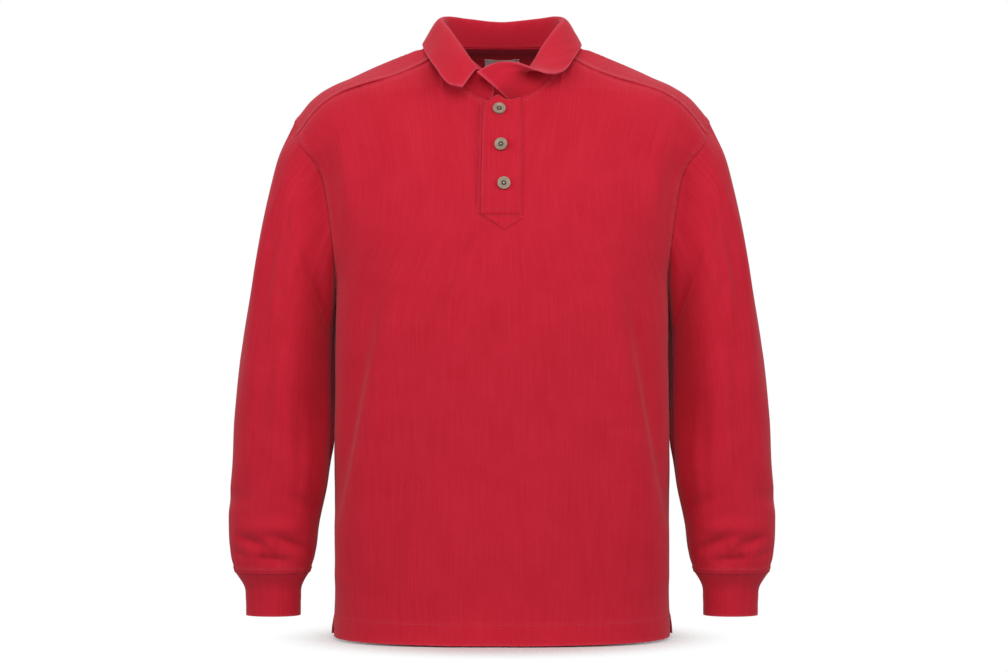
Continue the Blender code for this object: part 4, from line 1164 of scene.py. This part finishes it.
def clipped_top(x):
    """Height of the over-placket's top, with its free corner cut off."""
    share = np.clip((PLACKET_CORNER_X - x) / PLACKET_CORNER_WIDTH, 0.0, 1.0)
    return placket_top - PLACKET_TOP_DROP - PLACKET_CORNER_DROP * share


def over_sewn_down(x, heights):
    """1 along the right edge and the pointed end, past the strip underneath, and 0 elsewhere."""
    right = ease((x - (PLACKET_HALF_WIDTH - 0.0042)) / 0.0030)
    low_end = ease((UNDER_PLACKET_END_HEIGHT - heights) / 0.0040)
    return np.maximum(right, low_end)


add_strip(
    "placket_under_cloth",
    -PLACKET_HALF_WIDTH + UNDER_PLACKET_SHIFT,
    PLACKET_HALF_WIDTH + UNDER_PLACKET_SHIFT,
    lambda x: np.full_like(x, UNDER_PLACKET_END_HEIGHT),
    lambda x: np.full_like(x, placket_top - UNDER_PLACKET_TOP_DROP),
    SEAM_GAP,
    UNDER_PLACKET_WALL - 0.0006,
    lambda x, heights: np.zeros_like(x),
    0.0,
    0.0,
)
over_outer = add_strip(
    "placket_over_cloth",
    -PLACKET_HALF_WIDTH,
    PLACKET_HALF_WIDTH,
    pointed_end,
    clipped_top,
    2 * SEAM_GAP + UNDER_PLACKET_WALL,
    OVER_PLACKET_WALL,
    over_sewn_down,
    CORNER_RISE,
    FREE_EDGE_CURL,
)

# %% The neck label, blank
LABEL_COLUMN = BACK_NECK_SHARE / 5
label_heights = np.linspace(LABEL_BOTTOM_HEIGHT, LABEL_TOP_HEIGHT, 12)
label_across = np.linspace(-LABEL_COLUMN, LABEL_COLUMN, 15)
label_face = panel(False, label_across, label_heights)
label_face[..., 0] *= LABEL_HALF_WIDTH / np.abs(label_face[..., 0]).max(axis=1, keepdims=True)
label_in = normals_of(label_face)
label_near = BODY_WALL + SEAM_GAP + LABEL_CLEARANCE
label_maps = np.stack([lengths_along(label_face, 1), lengths_along(label_face, 0)], -1)
label_wear = np.zeros(label_face.shape[:2])
made["label_cloth"] = add_cloth(
    "label_cloth",
    label_face + label_in * label_near,
    label_face + label_in * (label_near + LABEL_WALL),
    label_maps,
    label_wear,
)

# %% [markdown]
# ## Buttons
#
# A moulded button of 15.6 mm: a thick rounded rim, a shallow dish, and in its middle a dark ring
# round a pale dot, as in the photo. One is modelled and copied to its three places, each tilted a
# little as the placket takes it.

# %% Model one button
BUTTON_SIDES = 48


def select_faces(mesh, test):
    """Selects the faces that a test of centre and normal picks, and counts them."""
    count = 0
    for polygon in mesh.polygons:
        polygon.select = bool(test(polygon.center, polygon.normal))
        count += polygon.select
    return count


def edit_step(obj, test, steps):
    """In edit mode, runs steps on the faces that the test picks."""
    bpy.ops.object.select_all(action="DESELECT")
    obj.select_set(True)
    bpy.context.view_layer.objects.active = obj
    bpy.ops.object.mode_set(mode="EDIT")
    bpy.ops.mesh.select_mode(type="FACE")
    bpy.ops.mesh.select_all(action="DESELECT")
    bpy.ops.object.mode_set(mode="OBJECT")
    picked = select_faces(obj.data, test)
    bpy.ops.object.mode_set(mode="EDIT")
    steps()
    bpy.ops.object.mode_set(mode="OBJECT")
    return picked


INSETS = (
    # width, rise: the rim, the dish's side and floor, the ring's groove, and the middle dot
    (0.0016, 0.0),
    (0.0006, -0.0005),
    (0.0021, -0.0001),
    (0.0003, -0.0004),
    (0.0009, 0.0),
    (0.0003, 0.0004),
    (0.0008, 0.0002),
)


def dish():
    """Insets the picked face step by step, from the rim to the middle."""
    for width, rise in INSETS:
        bpy.ops.mesh.inset(thickness=width, depth=rise)


bpy.ops.mesh.primitive_cylinder_add(
    vertices=BUTTON_SIDES,
    radius=BUTTON_RADIUS,
    depth=BUTTON_THICKNESS,
    location=(0, 0, BUTTON_THICKNESS / 2),
)
button = bpy.context.active_object
button.name = "button_model"
bpy.ops.object.transform_apply(location=True, rotation=False, scale=False)
tops = edit_step(button, lambda centre, normal: normal.z > 0.9, dish)
print("button faces after the dish:", len(button.data.polygons), "from", tops)

# %% Round its rim, and number the faces of the ring and the dot
BUTTON_ROUNDING = 0.0008
rounding = button.modifiers.new("round edges", "BEVEL")
rounding.width = BUTTON_ROUNDING
rounding.segments = 4
rounding.limit_method = "ANGLE"
rounding.angle_limit = math.radians(50)
bpy.ops.object.modifier_apply(modifier=rounding.name)
RING_INNER = 0.0014
RING_OUTER = 0.0032
LOWEST_TOP = 0.0012
for polygon in button.data.polygons:
    reach = math.hypot(polygon.center.x, polygon.center.y)
    on_top = polygon.center.z > LOWEST_TOP
    in_ring = RING_INNER <= reach <= RING_OUTER and on_top
    polygon.material_index = 1 if in_ring else 2 if on_top and reach < RING_INNER else 0
    polygon.use_smooth = True
print("button polygons:", len(button.data.polygons))

# %% Copy the button to its places
front_seat = 3 * SEAM_GAP + UNDER_PLACKET_WALL + OVER_PLACKET_WALL
buttons = []
for number, (x, height, tilt) in enumerate(BUTTON_PLACES, 1):
    point, facing = (value[0] for value in read_front([x], [height]))
    tilt = math.radians(tilt)
    seat = front_seat + BUTTON_RADIUS * BUTTON_BASE_PART * abs(math.sin(tilt)) + 0.0002
    sideways = unit(np.cross([0.0, 0.0, 1.0], facing))
    upward = np.cross(facing, sideways)
    tilted = facing * math.cos(tilt) + sideways * math.sin(tilt)
    sideways = sideways * math.cos(tilt) - facing * math.sin(tilt)
    place = Matrix.Identity(4)
    for column, direction in enumerate((sideways, upward, tilted, point + facing * seat)):
        for axis in range(3):
            place[axis][column] = direction[axis]
    mesh = button.data.copy()
    mesh.transform(place)
    buttons.append(add_object("button_{}_moulded".format(number), mesh))
bpy.data.objects.remove(button)
print("buttons:", [copy.name for copy in buttons])

# %% [markdown]
# ## Stitches
#
# Each stitch is a small spindle of thread that dips into the cloth at both ends. A row of them
# follows a seam line that is read from the cloth's own points.

# %% Make a row of stitches
STITCH_LENGTH = 0.0025
STITCH_PITCH = 0.0033
STITCH_RADIUS = 0.00036
STITCH_SIDES = 4
FACES_PER_STITCH = 3 * STITCH_SIDES + 2


def spaced(points, normals, pitch):
    """Points and directions at an even pitch along a line of points."""
    lengths = lengths_along(points, 0)
    count = max(2, int(lengths[-1] / pitch))
    at = (np.arange(count) + 0.5) * lengths[-1] / count

    def read(places, values):
        return np.stack([np.interp(places, lengths, values[:, axis]) for axis in range(3)], -1)

    ahead, behind = read(at + pitch * 0.3, points), read(at - pitch * 0.3, points)
    return read(at, points), unit(read(at, normals)), unit(ahead - behind)


SPINDLE = (
    # along, size, lift: four rings of a stitch
    (-0.5, 0.35, -0.25),
    (-0.2, 1.0, 0.45),
    (0.2, 1.0, 0.45),
    (0.5, 0.35, -0.25),
)


def stitch_row(points, normals, pitch=STITCH_PITCH, length=STITCH_LENGTH, radius=STITCH_RADIUS):
    """The points and faces of one row of stitches along a line on the cloth."""
    middles, ups, ways = spaced(np.asarray(points), np.asarray(normals), pitch)
    sides = np.cross(ways, ups)
    ring = []
    for along, size, lift in SPINDLE:
        for step in range(STITCH_SIDES):
            angle = 2 * math.pi * (step + 0.5) / STITCH_SIDES
            offset = sides * math.cos(angle) + ups * math.sin(angle)
            ring.append(middles + ways * length * along + (offset * size + ups * lift) * radius)
    verts = np.stack(ring, 1)
    faces = []
    for part in range(3):
        for step in range(STITCH_SIDES):
            a = part * STITCH_SIDES + step
            b = part * STITCH_SIDES + (step + 1) % STITCH_SIDES
            faces.append([a, b, b + STITCH_SIDES, a + STITCH_SIDES])
    last = 3 * STITCH_SIDES
    faces += [[3, 2, 1, 0], [last, last + 1, last + 2, last + 3]]
    starts = np.arange(len(middles))[:, None, None] * len(ring)
    return verts.reshape(-1, 3), (np.array(faces)[None] + starts).reshape(-1, 4)


print("faces of a stitch:", FACES_PER_STITCH)

# %% Join rows of stitches, and read a seam line


def add_stitches(name, rows):
    """One object from many rows of stitches."""
    points, faces, start = [], [], 0
    for row_points, row_faces in rows:
        points.append(row_points)
        faces.append(row_faces + start)
        start += len(row_points)
    points, faces = np.concatenate(points), np.concatenate(faces)
    mesh = bpy.data.meshes.new(name)
    mesh.vertices.add(len(points))
    mesh.vertices.foreach_set("co", points.ravel().astype(np.float32))
    mesh.loops.add(faces.size)
    mesh.loops.foreach_set("vertex_index", faces.ravel().astype(np.int32))
    mesh.polygons.add(len(faces))
    mesh.polygons.foreach_set("loop_start", np.arange(0, faces.size, 4, dtype=np.int32))
    mesh.polygons.foreach_set("use_smooth", np.ones(len(faces), bool))
    mesh.update()
    mesh.validate()
    print(name, len(faces) // FACES_PER_STITCH, "stitches")
    return add_object(name, mesh)


def line_from_top(grid, normals, distance, columns):
    """The line on a grid that lies a distance down from its last row, over some of its columns."""
    down = lengths_along(grid[::-1], 0)[::-1]
    both = np.concatenate([grid, normals], axis=-1)
    line = []
    for column in columns:
        order = np.argsort(down[:, column])
        at = down[order, column]
        line.append([np.interp(distance, at, both[order, column, axis]) for axis in range(6)])
    line = np.array(line)
    return line[:, :3], unit(line[:, 3:])


def row_from(grid, normals, distance, picked):
    """A row of stitches at a distance from a grid's last row."""
    return stitch_row(*line_from_top(grid, normals, distance, picked))


corner = row_from(front[::-1], front_out[::-1], HEM_DEPTH, range(9))
print("stitches over the hem's first eight columns:", len(corner[1]) // FACES_PER_STITCH)

# %% Stitches of the front and the back
SHOULDER_ROWS = (0.0018, 0.0058)
NECK_ROWS = (0.0014, 0.0050)
ARMHOLE_ROWS = (0.0028, 0.0062)
VENT_ROW = (0.0060,)
back_last = back.shape[1] - 1
rows_front, rows_back = [], []
for distance in SHOULDER_ROWS:
    rows_back.append(row_from(back, back_out, distance, range(1, shoulder)))
    rows_back.append(row_from(back, back_out, distance, range(back_last - shoulder + 1, back_last)))
for distance in NECK_ROWS:
    for sign in (-1, 1):
        place = front_across * sign
        picked = np.nonzero((place > 0.07) & (place < FRONT_NECK_SHARE))[0]
        rows_front.append(row_from(front, front_out, distance, picked))
    picked = np.nonzero(np.abs(back_across) < BACK_NECK_SHARE)[0]
    rows_back.append(row_from(back, back_out, distance, picked))
for grid, normals, rows in ((front, front_out, rows_front), (back, back_out, rows_back)):
    turned, turned_out = np.swapaxes(grid, 0, 1), np.swapaxes(normals, 0, 1)
    above, vent = range(low + 1, grid.shape[0] - 1), range(1, VENT_ROWS + 2)
    for picked, distances in ((above, ARMHOLE_ROWS), (vent, VENT_ROW)):
        for distance in distances:
            rows.append(row_from(turned, turned_out, distance, picked))
            rows.append(row_from(turned[::-1], turned_out[::-1], distance, picked))
    rows.append(row_from(grid[::-1], normals[::-1], HEM_DEPTH, range(2, grid.shape[1] - 2)))
print("rows of stitches:", len(rows_front), "front,", len(rows_back), "back")

# %% The half-moon that is sewn inside the back of the neck
HALF_MOON_TOP = 0.793
HALF_MOON_DEPTH = 0.165
HALF_MOON_WIDTHS = (0.1265, 0.1320)
for half_width in HALF_MOON_WIDTHS:
    turn = np.linspace(-math.pi / 2, math.pi / 2, 160)
    depth = HALF_MOON_DEPTH + half_width - HALF_MOON_WIDTHS[0]
    points, ways = read_back(half_width * np.sin(turn), HALF_MOON_TOP - depth * np.cos(turn))
    rows_back.append(stitch_row(points, ways))
front_stitches = add_stitches("front_stitches", rows_front)
back_stitches = add_stitches("back_stitches", rows_back)

# %% Stitches of the placket
OVER_LIFT = 2 * SEAM_GAP + UNDER_PLACKET_WALL + OVER_PLACKET_WALL + 0.0002
UNDER_LIFT = SEAM_GAP + UNDER_PLACKET_WALL - 0.0005
STITCH_INSET = 0.0024
END_ROWS_APART = 0.0084
CLIPPED_CORNER_DROP = 0.008
PLACKET_STITCH = {"pitch": 0.0028, "length": 0.0021, "radius": 0.0003}


def strip_row(x, heights, lift):
    """A row of stitches on the placket, along a line given by x and height up the front."""
    x, heights = np.broadcast_arrays(np.asarray(x, float), np.asarray(heights, float))
    steps = np.linspace(0, len(x) - 1, 240)
    x, heights = (np.interp(steps, np.arange(len(x)), values) for values in (x, heights))
    points, ways = read_front(x, heights)
    if lift == OVER_LIFT:
        curl = edge_curl(x + PLACKET_HALF_WIDTH, heights, placket_top - CLIPPED_CORNER_DROP)
        sewn = over_sewn_down(x, heights)
        lift = lift + sewn * (SEWN_LIFT - 2 * SEAM_GAP - UNDER_PLACKET_WALL)
        lift = lift + FREE_EDGE_CURL * curl
    lift = np.broadcast_to(lift, x.shape)[:, None]
    return stitch_row(points + ways * lift, ways, **PLACKET_STITCH)


edge_x = PLACKET_HALF_WIDTH - STITCH_INSET
low_height = PLACKET_SQUARE_HEIGHT + 0.0008
high_height = placket_top - 0.009
tip = (PLACKET_TIP_X, PLACKET_SQUARE_HEIGHT - PLACKET_TIP_DROP + STITCH_INSET * 1.3)
OVER_LINES = (
    # x and height of each line's points: both edges, two rows across the low end, and its point
    ([edge_x, edge_x], [low_height, high_height + 0.005]),
    ([-edge_x, -edge_x], [low_height, high_height]),
    ([-edge_x, edge_x], [low_height, low_height]),
    ([-edge_x, edge_x], [low_height + END_ROWS_APART, low_height + END_ROWS_APART]),
    ([-edge_x, tip[0], edge_x], [low_height - 0.0006, tip[1], low_height - 0.0006]),
)
over_rows = [strip_row(x, heights, OVER_LIFT) for x, heights in OVER_LINES]
under_x = -PLACKET_HALF_WIDTH + UNDER_PLACKET_SHIFT + 0.0014
under_rows = [strip_row([under_x, under_x], [CURL_LOW_HEIGHT, placket_top - 0.012], UNDER_LIFT)]
over_stitches = add_stitches("placket_over_stitches", over_rows)
under_stitches = add_stitches("placket_under_stitches", under_rows)

# %% Stitches of the sleeves and the collar
SLEEVE_SEAM_ROWS = (0.0014, 0.0064)
COLLAR_SEAM_ROW = 0.0030
all_round = list(range(len(turns))) + [0]
sleeve_rows = [line_from_top(sleeve, sleeve_out, down, all_round) for down in SLEEVE_SEAM_ROWS]
sleeve_stitches = {}
for side, turned in SIDES:
    rows = [stitch_row(points * turned, ways * turned) for points, ways in sleeve_rows]
    sleeve_stitches[side] = add_stitches("sleeve_stitches_" + side, rows)
inside = np.where((collar_out * [0, 1, 0]).sum(-1)[:, COLLAR_COLUMNS // 2].mean() > 0, -1.0, 1.0)
stand = collar + collar_out * inside * COLLAR_WALL / 2
picked = range(4, COLLAR_COLUMNS - 4)
collar_rows = [row_from(stand[::-1], collar_out[::-1] * inside, COLLAR_SEAM_ROW, picked)]
collar_stitches = add_stitches("collar_stitches", collar_rows)

# %% [markdown]
# ## Materials
#
# Garment-washed cotton is matt and slightly fuzzy. The eye sees a mottled red with faint streaks
# down the grain, the knit's small vertical ribs, a pinkish sheen where the surface turns away,
# and paler edges.

# %% Colour and node helpers


def linear(code):
    """A linear colour from an sRGB hex code."""
    parts = [int(code[place : place + 2], 16) / 255 for place in (0, 2, 4)]
    return [
        part / 12.92 if part <= 0.04045 else ((part + 0.055) / 1.055) ** 2.4 for part in parts
    ] + [1.0]


def add_node(owner, kind, settings=None, inputs=None, links=None):
    """A node of a material or the world, with its settings, sockets' values and incoming links."""
    tree = owner.node_tree
    node = tree.nodes.new(kind)
    for key, value in (settings or {}).items():
        setattr(node, key, value)
    for key, value in (inputs or {}).items():
        node.inputs[key].default_value = value
    for key, source in (links or {}).items():
        tree.links.new(source, node.inputs[key])
    return node


def new_material(name, colour, roughness):
    """A material of one colour and roughness, with its shader."""
    material = bpy.data.materials.new(name)
    material.use_nodes = True
    shader = material.node_tree.nodes["Principled BSDF"]
    shader.inputs["Base Color"].default_value = linear(colour)
    shader.inputs["Roughness"].default_value = roughness
    return material, shader


print("red in linear light:", [round(part, 3) for part in linear("C82132")])

# %% The washed red knit: colour
knit, knit_shader = new_material("garment-washed red cotton knit", "C01C30", 0.92)
cloth_map = add_node(knit, "ShaderNodeUVMap", {"uv_map": "cloth"}).outputs["UV"]
NOISES = (
    # scale, detail, roughness
    # broad clouds, some 45 mm across, where the wash has taken more or less of the dye
    (22.0, 5.0, 0.6),
    # melange of single yarns: specks of 1.6 mm, coarser than the real 0.5 mm so that they show
    (620.0, 2.0, 0.6),
    # breaks of some 6 mm in the paler edges
    (160.0, 3.0, 0.5),
)
clouds, melange, broken = (
    add_node(
        knit,
        "ShaderNodeTexNoise",
        inputs={"Scale": scale, "Detail": detail, "Roughness": roughness},
        links={"Vector": cloth_map},
    ).outputs["Fac"]
    for scale, detail, roughness in NOISES
)
# streaks down the grain, from yarns that took the dye unevenly: some 2.4 mm wide and 70 mm long,
# which is wider than the real yarns so that they show
stretched = add_node(
    knit, "ShaderNodeMapping", inputs={"Scale": (420.0, 14.0, 1.0)}, links={"Vector": cloth_map}
)
streaks = add_node(
    knit,
    "ShaderNodeTexNoise",
    inputs={"Scale": 1.0, "Detail": 2.0, "Roughness": 0.5},
    links={"Vector": stretched.outputs["Vector"]},
)
mottle = clouds
for share, added in ((0.5, streaks.outputs["Fac"]), (0.30, melange)):
    mottle = add_node(
        knit,
        "ShaderNodeMix",
        {"data_type": "FLOAT"},
        {"Factor": share},
        {"A": mottle, "B": added},
    ).outputs["Result"]
spread = add_node(
    knit,
    "ShaderNodeMapRange",
    inputs={"From Min": 0.36, "From Max": 0.64},
    links={"Value": mottle},
)
base = add_node(
    knit,
    "ShaderNodeMix",
    {"data_type": "RGBA"},
    {"A": linear("BF192D"), "B": linear("CB2338")},
    {"Factor": spread.outputs["Result"]},
)
print("red mottle ready")

# %% The washed red knit: paler edges, worn and partly a painted highlight
# the wash rubs the dye off raised edges, unevenly, which leaves them broken and paler; along the
# collar's rims and fold the paler colour is also a painted highlight
wear_and_highlight_value = add_node(knit, "ShaderNodeAttribute", {"attribute_name": "wear_and_highlight"}).outputs["Fac"]
wear_and_highlight_share = add_node(
    knit, "ShaderNodeMath", {"operation": "MULTIPLY"}, links={0: wear_and_highlight_value, 1: broken}
)
worn_and_highlighted = add_node(
    knit,
    "ShaderNodeMix",
    {"data_type": "RGBA"},
    {"B": linear("DE5F73")},
    {"Factor": wear_and_highlight_share.outputs["Value"], "A": base.outputs["Result"]},
)
knit.node_tree.links.new(worn_and_highlighted.outputs["Result"], knit_shader.inputs["Base Color"])
print("worn edges ready")

# %% The washed red knit: fuzz and ribs
# the fuzz of brushed cotton lightens what turns away from the eye
knit_shader.inputs["Sheen Weight"].default_value = 0.26
knit_shader.inputs["Sheen Roughness"].default_value = 0.45
knit_shader.inputs["Sheen Tint"].default_value = linear("FFB4BC")
knit_shader.inputs["Specular IOR Level"].default_value = 0.18
# knit ribs down the grain, 3.6 mm apart: coarser than the real 1.2 mm so that they show
ribs = add_node(
    knit,
    "ShaderNodeTexWave",
    {"wave_type": "BANDS", "bands_direction": "X", "wave_profile": "SIN"},
    {"Scale": 88.0, "Distortion": 1.2, "Detail": 2.0, "Detail Scale": 3.0},
    {"Vector": cloth_map},
)
rough = add_node(
    knit,
    "ShaderNodeMix",
    {"data_type": "FLOAT"},
    {"Factor": 0.72},
    {"A": ribs.outputs["Fac"], "B": melange},
)
bump = add_node(
    knit,
    "ShaderNodeBump",
    inputs={"Strength": 0.32, "Distance": 0.0005},
    links={"Height": rough.outputs["Result"]},
)
knit.node_tree.links.new(bump.outputs["Normal"], knit_shader.inputs["Normal"])
print("knit nodes:", len(knit.node_tree.nodes))

# %% Thread, buttons and label
# the stitching has washed out paler than the knit, so its rows show as light dashes
thread, thread_shader = new_material("washed red sewing thread", "C42C40", 0.8)
thread_shader.inputs["Sheen Weight"].default_value = 0.2
# moulded buttons: taupe, satin, slightly clouded, with a dark sunk ring and a pale middle
taupe, taupe_shader = new_material("taupe moulded button resin", "8B7B6C", 0.38)
cloudy = add_node(
    taupe,
    "ShaderNodeTexNoise",
    inputs={"Scale": 260.0, "Detail": 3.0},
    links={"Vector": add_node(taupe, "ShaderNodeTexCoord").outputs["Object"]},
)
taupe_mix = add_node(
    taupe,
    "ShaderNodeMix",
    {"data_type": "RGBA"},
    {"A": linear("82725F"), "B": linear("A59580")},
    {"Factor": cloudy.outputs["Fac"]},
)
taupe.node_tree.links.new(taupe_mix.outputs["Result"], taupe_shader.inputs["Base Color"])
dark_ring, _ = new_material("dark sunk ring of the button", "3E3029", 0.6)
pale_dot, _ = new_material("pale middle of the button", "A89686", 0.45)
label_cloth, label_shader = new_material("plain pale woven label", "DCD3CC", 0.85)
label_map = add_node(label_cloth, "ShaderNodeUVMap", {"uv_map": "cloth"}).outputs["UV"]
# threads 1 mm apart, coarser than the real ones so that they show
weave = add_node(
    label_cloth,
    "ShaderNodeTexWave",
    {"bands_direction": "Y"},
    {"Scale": 320.0, "Distortion": 0.5},
    {"Vector": label_map},
)
label_bump = add_node(
    label_cloth,
    "ShaderNodeBump",
    inputs={"Strength": 0.3, "Distance": 0.0002},
    links={"Height": weave.outputs["Fac"]},
)
label_cloth.node_tree.links.new(label_bump.outputs["Normal"], label_shader.inputs["Normal"])
print("materials:", [material.name for material in bpy.data.materials])

# %% [markdown]
# ## What each new piece stands for
#
# Each piece replaces its node of the CAD part and rides with it. The flat size of each sheet of
# cloth is measured along the made cloth.

# %% Replace the CAD pieces
STANDS_FOR = {
    "front_cloth": "front_body",
    "back_cloth": "back_body",
    "sleeve_cloth_left": "sleeve_left",
    "sleeve_cloth_right": "sleeve_right",
    "cuff_cloth_left": "cuff_left",
    "cuff_cloth_right": "cuff_right",
    "collar_cloth": "collar",
    "placket_over_cloth": "placket_over",
    "placket_under_cloth": "placket_under",
}
stitch_pieces = [front_stitches, back_stitches, over_stitches, under_stitches, collar_stitches]
stitch_pieces += list(sleeve_stitches.values())
for name, node in STANDS_FOR.items():
    made[name].data.materials.append(knit)
    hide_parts(node)
made["label_cloth"].data.materials.append(label_cloth)
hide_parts("neck_label")
for number, copy in enumerate(buttons, 1):
    for material in (taupe, dark_ring, pale_dot):
        copy.data.materials.append(material)
    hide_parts("button_{}".format(number))
for piece in stitch_pieces:
    piece.data.materials.append(thread)
for piece in list(made.values()) + buttons + stitch_pieces:
    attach(piece, "root")
print("new pieces:", len(made) + len(buttons) + len(stitch_pieces))

# %% Measure the sheets of cloth
front_name, back_name = made["front_cloth"].name, made["back_cloth"].name
body = [front_name, back_name]
SHEETS = (
    # piece, grid, closed, held, rests on, pieces on it
    ("front_cloth", front, False, "hung", [back_name], [front_stitches]),
    ("back_cloth", back, False, "hung", [], [back_stitches]),
    ("sleeve_cloth_left", sleeve, True, "hung", body, [sleeve_stitches["left"]]),
    ("sleeve_cloth_right", sleeve, True, "hung", body, [sleeve_stitches["right"]]),
    ("cuff_cloth_left", cuff, True, "hung", ["sleeve_cloth_left"], []),
    ("cuff_cloth_right", cuff, True, "hung", ["sleeve_cloth_right"], []),
    ("collar_cloth", collar, False, "folded", body, [collar_stitches]),
    ("placket_over_cloth", over_outer, False, "laid", ["placket_under_cloth"], [over_stitches]),
    ("label_cloth", label_face, False, "laid", [back_name], []),
)
for name, grid, closed, held, rests_on, pieces in SHEETS:
    width, length = flat_size(grid, closed)

# %% [markdown]
# ## Studio
#
# Soft light from above and in front, one from each side for the sheen along the outlines, one
# from behind for the other views, and a white ground. A pale floor just under the hem takes the
# faint shadow, and as it fades out all round its pale colour also paints a soft shadow there.

# %% Floor
FLOOR_Z = -0.7212
FLOOR_RADIUS = 0.30
bpy.ops.mesh.primitive_circle_add(
    vertices=96, radius=FLOOR_RADIUS, fill_type="NGON", location=(0, 0, FLOOR_Z)
)
floor = bpy.context.active_object
floor.name = "floor"
# the floor's pale colour, opaque by the hem and fading to clear, is a painted soft shadow over the
# real one that the lights cast
floor_and_painted_shadow, floor_shader = new_material("pale studio floor", "EDEEEE", 0.9)
painted_shadow_spot = add_node(
    floor_and_painted_shadow,
    "ShaderNodeTexGradient",
    {"gradient_type": "SPHERICAL"},
    links={
        "Vector": add_node(
            floor_and_painted_shadow,
            "ShaderNodeMapping",
            inputs={"Scale": (1 / FLOOR_RADIUS, 1 / FLOOR_RADIUS, 1.0)},
            links={"Vector": add_node(floor_and_painted_shadow, "ShaderNodeTexCoord").outputs["Object"]},
        ).outputs["Vector"]
    },
)
painted_shadow_fade = add_node(
    floor_and_painted_shadow,
    "ShaderNodeMapRange",
    {"interpolation_type": "SMOOTHSTEP"},
    {"From Min": 0.02, "From Max": 0.50},
    {"Value": painted_shadow_spot.outputs["Fac"]},
)
floor_and_painted_shadow.node_tree.links.new(painted_shadow_fade.outputs["Result"], floor_shader.inputs["Alpha"])
floor.data.materials.append(floor_and_painted_shadow)
print("floor at z =", FLOOR_Z)

# %% Lights and white ground
GARMENT_MIDDLE = Vector((0.0, 0.0, -0.34))
# the white ground is fully bright to the camera, and lights the cloth by this much
GROUND_LIGHT = 0.34
LIGHTS = (
    # name, place, width, height, watts
    ("left softbox", (-1.90, -1.45, 0.35), 0.9, 1.3, 16.0),
    ("right softbox", (1.90, -1.45, 0.35), 0.9, 1.3, 16.0),
    ("front softbox", (0.0, -1.6, 0.55), 0.9, 0.7, 11.5),
    ("overhead softbox", (0.0, 0.7, 1.7), 1.8, 0.8, 14.0),
    ("back softbox", (0.0, 2.6, 0.5), 1.6, 1.0, 12.0),
)
for name, place, width, height, watts in LIGHTS:
    light = bpy.data.lights.new(name, "AREA")
    light.shape = "RECTANGLE"
    light.size, light.size_y, light.energy = width, height, watts
    lamp = add_object(name, light)
    lamp.location = place
    lamp.rotation_euler = (GARMENT_MIDDLE - Vector(place)).to_track_quat("-Z", "Y").to_euler()
world = bpy.context.scene.world or bpy.data.worlds.new("white ground")
bpy.context.scene.world = world
world.use_nodes = True
world.node_tree.nodes.clear()
seen = add_node(world, "ShaderNodeLightPath").outputs["Is Camera Ray"]
strength = add_node(
    world,
    "ShaderNodeMapRange",
    inputs={"To Min": GROUND_LIGHT, "To Max": 1.0},
    links={"Value": seen},
)
ground = add_node(
    world,
    "ShaderNodeBackground",
    inputs={"Color": (1.0, 1.0, 1.0, 1.0)},
    links={"Strength": strength.outputs["Result"]},
)
add_node(world, "ShaderNodeOutputWorld", links={"Surface": ground.outputs["Background"]})
bpy.context.scene.view_settings.view_transform = "Standard"
print("lights:", len(LIGHTS))
